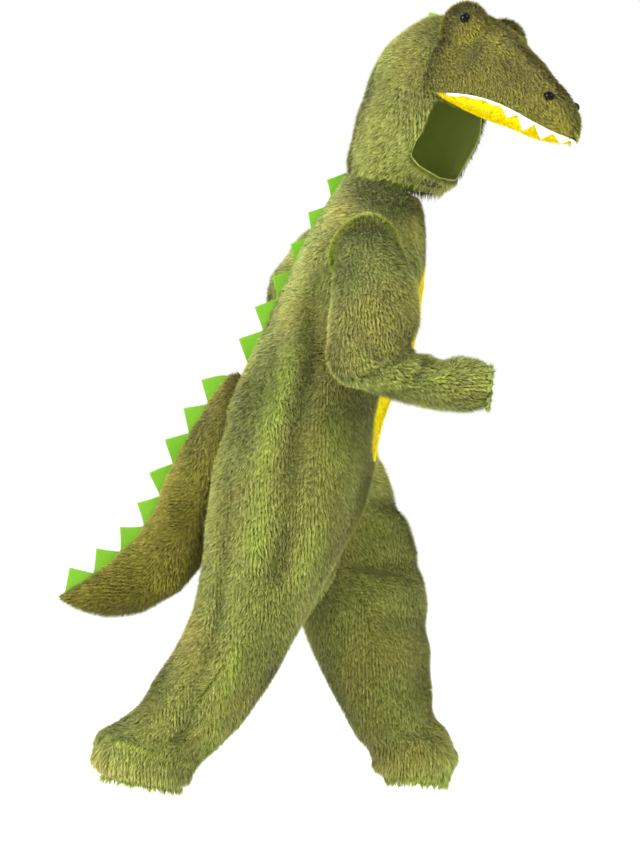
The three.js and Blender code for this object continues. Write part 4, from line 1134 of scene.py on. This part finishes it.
def add_teeth():
    """Felt teeth that hang from the lip, from one corner of the mouth round the tip to the other."""
    place = np.linspace(TEETH["from"], len(SNOUT) - 1, 120)
    forward, half, _, lip, _ = section_at(SNOUT, place)
    side = np.stack([half, -forward, lip], -1)
    line = np.concatenate([side * [-1, 1, 1], [[0, side[-1, 1], side[-1, 2]]], side[::-1]])
    lengths = distances(line)
    fine = TEETH["steps"]
    steps = TEETH["count"] * fine
    t = np.linspace(0, 1, steps + 1)
    at, before, after = (on_line(line, lengths, (t + shift) * lengths[-1]) for shift in (0, -0.01, 0.01))
    tangent = unit((after - before) * [1, 1, 0])
    inward = np.stack([-tangent[:, 1], tangent[:, 0], np.zeros(len(t))], -1)
    within = (np.arange(steps + 1) % fine) / (fine / 2)
    point = np.where(within <= 1, within, 2 - within)
    from_corner = 1 - np.abs(2 * t - 1)
    size = smooth((from_corner - TEETH["small"]) / (TEETH["full"] - TEETH["small"]))
    grown = TEETH["corner"] + (TEETH["longest"] - TEETH["corner"]) * size
    length = grown + (TEETH["tip"] - grown) * smooth((from_corner - TEETH["shorter"]) / 0.3)
    height = TEETH["band"] + point * length
    down = np.linspace(0, 1, 6)[:, None, None]
    top = at - [0, 0, LIP_GAP]
    hanging = top - down * height[:, None] * [0, 0, 1] + inward * (TEETH["curl"] * down**2 * point[:, None])
    outer = placed(hanging)
    inner = placed(hanging + inward * FELT)
    shell = add_piece("teeth_felt", slab("teeth", outer, inner, False), "white_felt")
    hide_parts("teeth")


# Felt spikes


def seam_line(points):
    """The place and outward direction at a distance along a line of (y, z) points."""
    points = np.asarray(points, float)
    lengths = distances(points)

    def at(along):
        place, ahead, behind = (on_line(points, lengths, along + shift) for shift in (0, 4, -4))
        tangent = unit(ahead - behind)
        outward = np.stack([tangent[:, 1], -tangent[:, 0]], -1)
        facing_back = np.sign(outward @ np.array([1.0, 0.4]))[:, None]
        return place, outward * facing_back

    return at


def add_spikes(name, line, spikes, place=None):
    along, height = [], []
    steps = 9
    for middle, base, tall in spikes:
        share = np.linspace(0, 1, 2 * steps + 1)[:-1]
        along.append(middle - base / 2 + base * share)
        height.append(1 + (tall - 1) * (1 - np.abs(2 * share - 1)))
    along.append([spikes[-1][0] + spikes[-1][1] / 2])
    height.append([1])
    along, height = np.concatenate(along), np.concatenate(height)
    point, outward = seam_line(line)(along)
    up = np.linspace(0, 1, 9)[:, None]
    level = -FELT_ROOT + (height + FELT_ROOT) * up
    flat = point + outward * level[..., None]
    sway = 2.2 * np.sin(along / 31 + len(name)) * np.clip(level, 0, None) / 30
    outer = np.concatenate([(sway + FELT / 2)[..., None], flat], -1)
    inner = np.concatenate([(sway - FELT / 2)[..., None], flat], -1)
    if place is not None:
        outer, inner = place(outer), place(inner)
    shell = add_piece(f"{name}_cloth", slab(name, outer, inner, False), "lime_felt")
    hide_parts(name)


def add_all_spikes():
    rows = np.linspace(0, 7.4, 80)
    back = suit_surface(RIGHT)(rows, np.full(80, -90.0))
    add_spikes("back_spikes", back[:, 1:], BACK_SPIKES)
    places = np.linspace(1, len(TAIL) - 1, 80)
    ridge_y, ridge_z = section_at(TAIL, places)[:2]
    add_spikes("tail_spikes", np.stack([ridge_y, ridge_z], -1), TAIL_SPIKES)
    back_f, back_u = section_at(HOOD, np.linspace(0, 9, 80))[:2]
    add_spikes("hood_spikes", np.stack([-back_f, back_u], -1), HOOD_SPIKES, placed)


# Eyes, nostrils and chin tab


def ellipsoid_surface(piece, side):
    centre = np.array([side * piece["aside"], -piece["forward"], piece["up"]], float)
    radii = np.array(piece["radii"], float)

    def surface(row, angle):
        row, angle = np.broadcast_arrays(np.radians(row), np.radians(angle))
        ball = np.stack([np.sin(row) * np.cos(angle), np.sin(row) * np.sin(angle), np.cos(row)], -1)
        return placed(centre + ball * radii)

    return surface


def ball_patch(piece, side, rows, columns):
    around = np.linspace(0, 360, columns, endpoint=False)
    row, angle = np.meshgrid(np.linspace(2, 178, rows), around, indexing="ij")
    surface = ellipsoid_surface(piece, side)
    return Patch(surface, row, angle, (1, 179), (0, 360), wrap=True, step=(1.0, 1.0))


def ball_mesh(name, points):
    return new_mesh(name, points.reshape(-1, 3), grid_faces(*points.shape[:2], True))


def add_eye_parts(side, word, seed):
    bump = ball_patch(EYE_BUMP, side, 24, 40)
    bump.down = np.broadcast_to(-0.8 * HOOD_ROTATION[:, 1] - 0.6 * HOOD_ROTATION[:, 2], bump.down.shape)
    name = f"eye_bump_{word}"
    mesh = ball_mesh(name, bump.grown(BACKING - WALL))
    shell = add_piece(f"{name}_cloth", mesh, "olive_cloth")
    style = pile_style(
        length=BUMP_PILE,
        sunk=always(WALL - BACKING),
        keep=lambda root: ~np.logical_or(*inside_head(root)),
    )
    add_pile(f"{name}_pile", bump, seed, style, "olive_pile")
    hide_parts(name)
    for part, sizes in (("eye", EYE), ("nostril", NOSTRIL)):
        ball = ball_patch(sizes, side, 18, 28)
        name = f"{part}_{word}"
        mesh = ball_mesh(name, ball.points)
        piece = add_piece(f"{name}_gloss", mesh, "black_gloss")
        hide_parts(name)


def add_chin_tab():
    plain = hood_surface(RIGHT)
    rows = np.linspace(CHIN_TAB["from"], CHIN_TAB["to"], 9)
    angles = 90 + CHIN_TAB["half_angle"] * np.linspace(-1, 1, 25)
    row, angle = np.meshgrid(rows, angles, indexing="ij")
    patch = Patch(plain, row, angle, (0, 2), (40, 140), step=(0.05, 2.0))
    outside = CHIN_TAB["wall"] - CHIN_TAB["sunk"] + slack("chin_tab", patch.points)
    mesh = slab("chin_tab", patch.grown(outside), patch.grown(outside - CHIN_TAB["thick"]), False)
    shell = add_piece("chin_tab_tape", mesh, "black_tape")
    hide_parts("chin_tab")


# Materials


def node(tree, kind, **settings):
    made = tree.nodes.new(kind)
    for name, value in settings.items():
        setattr(made, name, value)
    return made


def colour_mix(tree, amount, first, second, blend="MIX"):
    """A mix of two colours, each a socket or a value."""
    mix = node(tree, "ShaderNodeMix", data_type="RGBA", blend_type=blend)
    for socket, value in ((mix.inputs[0], amount), (mix.inputs[6], first), (mix.inputs[7], second)):
        if isinstance(value, bpy.types.NodeSocket):
            tree.links.new(value, socket)
        else:
            socket.default_value = value
    return mix.outputs[2]


def set_values(shader, values):
    for label, value in values.items():
        shader.inputs[label].default_value = value


def scaled(tree, socket, low, high, to_low=0.0, to_high=1.0):
    ramp = node(tree, "ShaderNodeMapRange", interpolation_type="SMOOTHSTEP")
    for index, value in enumerate((low, high, to_low, to_high), start=1):
        ramp.inputs[index].default_value = value
    tree.links.new(socket, ramp.inputs[0])
    return ramp.outputs[0]


def noise(tree, place, scale, detail=3.0):
    texture = node(tree, "ShaderNodeTexNoise")
    set_values(texture, {"Scale": scale, "Detail": detail})
    tree.links.new(place, texture.inputs["Vector"])
    return texture.outputs["Fac"]


def new_group(name, inputs, outputs):
    tree = bpy.data.node_groups.new(name, "ShaderNodeTree")
    for in_out, sockets in (("INPUT", inputs), ("OUTPUT", outputs)):
        for label, kind in sockets.items():
            tree.interface.new_socket(name=label, in_out=in_out, socket_type=f"NodeSocket{kind}")
    return tree, node(tree, "NodeGroupInput"), node(tree, "NodeGroupOutput")


def make_pile_group():
    """Colour of a blade: painted shade at the root, pale at the tip from the pile's frosting and a painted
    highlight, painted shade in the folds' troughs and a painted highlight on their ridges, and a little
    different in each lock and patch.
    """
    tree, given, result = new_group(
        "pile_colour",
        {"Place": "Vector", "Painted_root_shade": "Color", "Middle": "Color", "Frosted_highlit_tip": "Color", "Patch": "Color",
         "Ridge_highlight": "Color", "Along": "Float", "Strand": "Float", "Lock": "Float", "Painted_fold_light": "Float"},
        {"Color": "Color"},
    )
    # painted shade at the roots, deep in the pile, fading out towards the middle of the blade
    low = scaled(tree, given.outputs["Along"], 0.0, 0.55)
    high = scaled(tree, given.outputs["Along"], 0.45, 1.0)
    patches = scaled(tree, noise(tree, given.outputs["Place"], 7.0), 0.42, 0.66)
    middle = colour_mix(tree, patches, given.outputs["Middle"], given.outputs["Patch"])
    # painted highlight: the ridge colour on the folds' ridges
    highlit_ridges = scaled(tree, given.outputs["Painted_fold_light"], 0.5, 0.95, 0.0, 0.8)
    middle = colour_mix(tree, highlit_ridges, middle, given.outputs["Ridge_highlight"])
    colour = colour_mix(tree, low, given.outputs["Painted_root_shade"], middle)
    # pale tips: the pile's frosting and a painted highlight, stronger on some strands than on others
    frost_and_highlight = node(tree, "ShaderNodeMath", operation="MULTIPLY")
    tree.links.new(high, frost_and_highlight.inputs[0])
    tree.links.new(scaled(tree, given.outputs["Strand"], 0.15, 0.95, 0.25, 1.0), frost_and_highlight.inputs[1])
    colour = colour_mix(tree, frost_and_highlight.outputs[0], colour, given.outputs["Frosted_highlit_tip"])
    # each lock's random tone, darkened by the painted shade in the folds' troughs
    shade = node(tree, "ShaderNodeMath", operation="MULTIPLY")
    tree.links.new(scaled(tree, given.outputs["Lock"], 0.0, 1.0, 0.78, 1.14), shade.inputs[0])
    tree.links.new(scaled(tree, given.outputs["Painted_fold_light"], 0.05, 0.5, 0.7, 1.0), shade.inputs[1])
    factor = node(tree, "ShaderNodeCombineColor")
    for socket in factor.inputs[:3]:
        tree.links.new(shade.outputs[0], socket)
    colour = colour_mix(tree, 1.0, colour, factor.outputs[0], "MULTIPLY")
    tree.links.new(colour, result.inputs["Color"])
    return tree


def make_cloth_group():
    """Colour and relief of woven or felted cloth."""
    tree, given, result = new_group(
        "cloth_grain",
        {"Place": "Vector", "Base": "Color", "Fleck": "Color", "Grain": "Float"},
        {"Color": "Color", "Normal": "Vector"},
    )
    texture = node(tree, "ShaderNodeTexNoise")
    texture.inputs["Detail"].default_value = 6
    tree.links.new(given.outputs["Place"], texture.inputs["Vector"])
    tree.links.new(given.outputs["Grain"], texture.inputs["Scale"])
    flecks = scaled(tree, texture.outputs["Fac"], 0.42, 0.62)
    broad = scaled(tree, noise(tree, given.outputs["Place"], 18.0), 0.3, 0.7, 0.0, 0.5)
    colour = colour_mix(tree, flecks, given.outputs["Base"], given.outputs["Fleck"])
    colour = colour_mix(tree, broad, colour, given.outputs["Base"])
    bump = node(tree, "ShaderNodeBump")
    set_values(bump, {"Strength": 0.5, "Distance": 0.0008})
    tree.links.new(texture.outputs["Fac"], bump.inputs["Height"])
    tree.links.new(colour, result.inputs["Color"])
    tree.links.new(bump.outputs["Normal"], result.inputs["Normal"])
    return tree


def start_material(name):
    material = bpy.data.materials.new(name)
    material.use_nodes = True
    tree = material.node_tree
    place = node(tree, "ShaderNodeTexCoord").outputs["Object"]
    return material, tree, tree.nodes["Principled BSDF"], place


def pile_material(name, root, middle, tip, patch, ridge_highlight, sheen):
    material, tree, surface, place = start_material(name)
    group = node(tree, "ShaderNodeGroup", node_tree=GROUPS["pile"])
    tree.links.new(place, group.inputs["Place"])
    # the root colour is painted shade deep in the pile; the tip colour is the pile's frosting and a painted
    # highlight; the ridge colour is a painted highlight on the folds' ridges
    colours = {"Painted_root_shade": root, "Middle": middle, "Frosted_highlit_tip": tip, "Patch": patch, "Ridge_highlight": ridge_highlight}
    set_values(group, {label: linear(colour) for label, colour in colours.items()})
    for label in ("along", "strand", "lock", "painted_fold_light"):
        value = node(tree, "ShaderNodeAttribute", attribute_name=label).outputs["Fac"]
        tree.links.new(value, group.inputs[label.capitalize()])
    tree.links.new(group.outputs["Color"], surface.inputs["Base Color"])
    set_values(surface, {
        "Roughness": 0.62, "Specular IOR Level": 0.15, "Sheen Weight": sheen, "Sheen Roughness": 0.5,
    })
    return material


def cloth_material(name, base, fleck, grain, roughness, sheen):
    material, tree, surface, place = start_material(name)
    group = node(tree, "ShaderNodeGroup", node_tree=GROUPS["cloth"])
    tree.links.new(place, group.inputs["Place"])
    set_values(group, {"Base": linear(base), "Fleck": linear(fleck), "Grain": grain})
    tree.links.new(group.outputs["Color"], surface.inputs["Base Color"])
    tree.links.new(group.outputs["Normal"], surface.inputs["Normal"])
    set_values(surface, {"Roughness": roughness, "Specular IOR Level": 0.2, "Sheen Weight": sheen})
    return material


def gloss_material(name, colour):
    material, tree, surface, place = start_material(name)
    smudges = scaled(tree, noise(tree, place, 60.0), 0.3, 0.7, 0.06, 0.2)
    tree.links.new(smudges, surface.inputs["Roughness"])
    set_values(surface, {"Base Color": linear(colour), "Specular IOR Level": 0.1})
    return material


def linear(colour):
    """A display colour of three numbers from 0 to 255 as a linear colour."""
    channels = [c / 255 for c in colour]
    return [c / 12.92 if c <= 0.04045 else ((c + 0.055) / 1.055) ** 2.4 for c in channels] + [1.0]


GROUPS = {"pile": make_pile_group(), "cloth": make_cloth_group()}
PILES = {
    # root (painted shade) middle tip (frosting and painted highlight) patch ridge (painted highlight) sheen
    "green_pile": [(58, 62, 16), (116, 124, 40), (214, 218, 130), (130, 122, 42), (146, 168, 44), 0.15],
    "olive_pile": [(60, 56, 6), (122, 116, 20), (214, 206, 100), (108, 100, 14), (138, 146, 34), 0.15],
    "tail_pile": [(56, 52, 6), (102, 98, 16), (188, 180, 80), (92, 84, 12), (122, 130, 32), 0.15],
    "yellow_pile": [(212, 194, 0), (244, 232, 0), (252, 242, 30), (238, 220, 0), (250, 236, 20), 0.0],
}
CLOTHS = {
    # base fleck grain roughness sheen
    "green_cloth": [(132, 148, 56), (150, 164, 72), 900, 0.9, 0.2],
    "olive_cloth": [(100, 102, 30), (116, 118, 42), 900, 0.9, 0.2],
    "yellow_cloth": [(226, 208, 0), (240, 224, 0), 900, 0.9, 0.0],
    "lime_felt": [(86, 136, 20), (102, 150, 30), 1500, 0.85, 0.1],
    "white_felt": [(226, 229, 228), (240, 242, 242), 1500, 0.85, 0.2],
    "black_tape": [(8, 8, 9), (18, 18, 20), 2200, 0.9, 0.0],
}
MATERIALS = {name: pile_material(name, *values) for name, values in PILES.items()}
MATERIALS |= {name: cloth_material(name, *values) for name, values in CLOTHS.items()}
MATERIALS["black_gloss"] = gloss_material("black_gloss", (6, 5, 5))


# Floor, light and the costume

FLOOR_DROP = 0.1  # metres below the hems, where the soles would stand
FLOOR_REACH = 30
LIT_PLACE = (0, 0.1, -0.4)  # what the large lamps are aimed at


def add_stage():
    low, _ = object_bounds()
    floor_mesh = bpy.data.meshes.new("floor")
    z = low.z - FLOOR_DROP
    corners = [(x * FLOOR_REACH, y * FLOOR_REACH, z) for x, y in ((-1, -1), (1, -1), (1, 1), (-1, 1))]
    floor_mesh.from_pydata(corners, [], [(0, 1, 2, 3)])
    floor = in_scene("floor", floor_mesh)
    material = bpy.data.materials.new("floor")
    material.use_nodes = True
    surface = material.node_tree.nodes["Principled BSDF"]
    set_values(surface, {"Base Color": (1, 1, 1, 1), "Roughness": 1, "Specular IOR Level": 0})
    floor_mesh.materials.append(material)


def add_lamp(name, kind, place, aim, power, **settings):
    data = bpy.data.lights.new(name, kind)
    data.energy = power
    for label, value in settings.items():
        setattr(data, label, value)
    lamp = in_scene(name, data)
    lamp.location = place
    lamp.rotation_euler = (Vector(aim) - Vector(place)).to_track_quat("-Z", "Y").to_euler()


def add_lights():
    world = bpy.data.worlds.new("studio")
    world.use_nodes = True
    background = world.node_tree.nodes["Background"]
    set_values(background, {"Color": (1, 1, 1, 1), "Strength": 1})
    bpy.context.scene.world = world
    for name, place, size, power in (
        ("key", (-1.7, 3.6, 1.2), 1.6, 250),
        ("fill", (-3.2, -1.6, 2.6), 2.0, 140),
        ("rim", (2.0, 1.5, 2.6), 1.6, 60),
    ):
        add_lamp(name, "AREA", place, LIT_PLACE, power, shape="DISK", size=size)
    # a narrow soft lamp on the back and the shoulder, which the hood would shade
    add_lamp("shoulder", "SPOT", (-2.0, 3.4, 1.0), (0, 0.08, -0.12), 380,
             spot_size=math.radians(9), spot_blend=1, shadow_soft_size=0.3)
    bpy.context.scene.view_settings.view_transform = "Standard"


def add_costume():
    add_suit()
    add_sleeve("sleeve_right", RIGHT, RIGHT_SLEEVE, RIGHT_SLEEVE_FOLDS, 0, SEED + 40)
    add_sleeve("sleeve_left", LEFT, LEFT_SLEEVE, LEFT_SLEEVE_FOLDS, LEFT_TWIST, SEED + 50)
    add_belly(SEED + 60)
    for side, word in ((RIGHT, "right"), (LEFT, "left")):
        add_tail(side, word, SEED + 70 + side)
        add_hood_half(side, word, SEED + 80 + side)
        add_eye_parts(side, word, SEED + 90 + side)
    add_snout(SEED + 100)
    add_palate(SEED + 110)
    add_teeth()
    add_all_spikes()
    add_chin_tab()


add_camera()
add_costume()
add_stage()
add_lights()
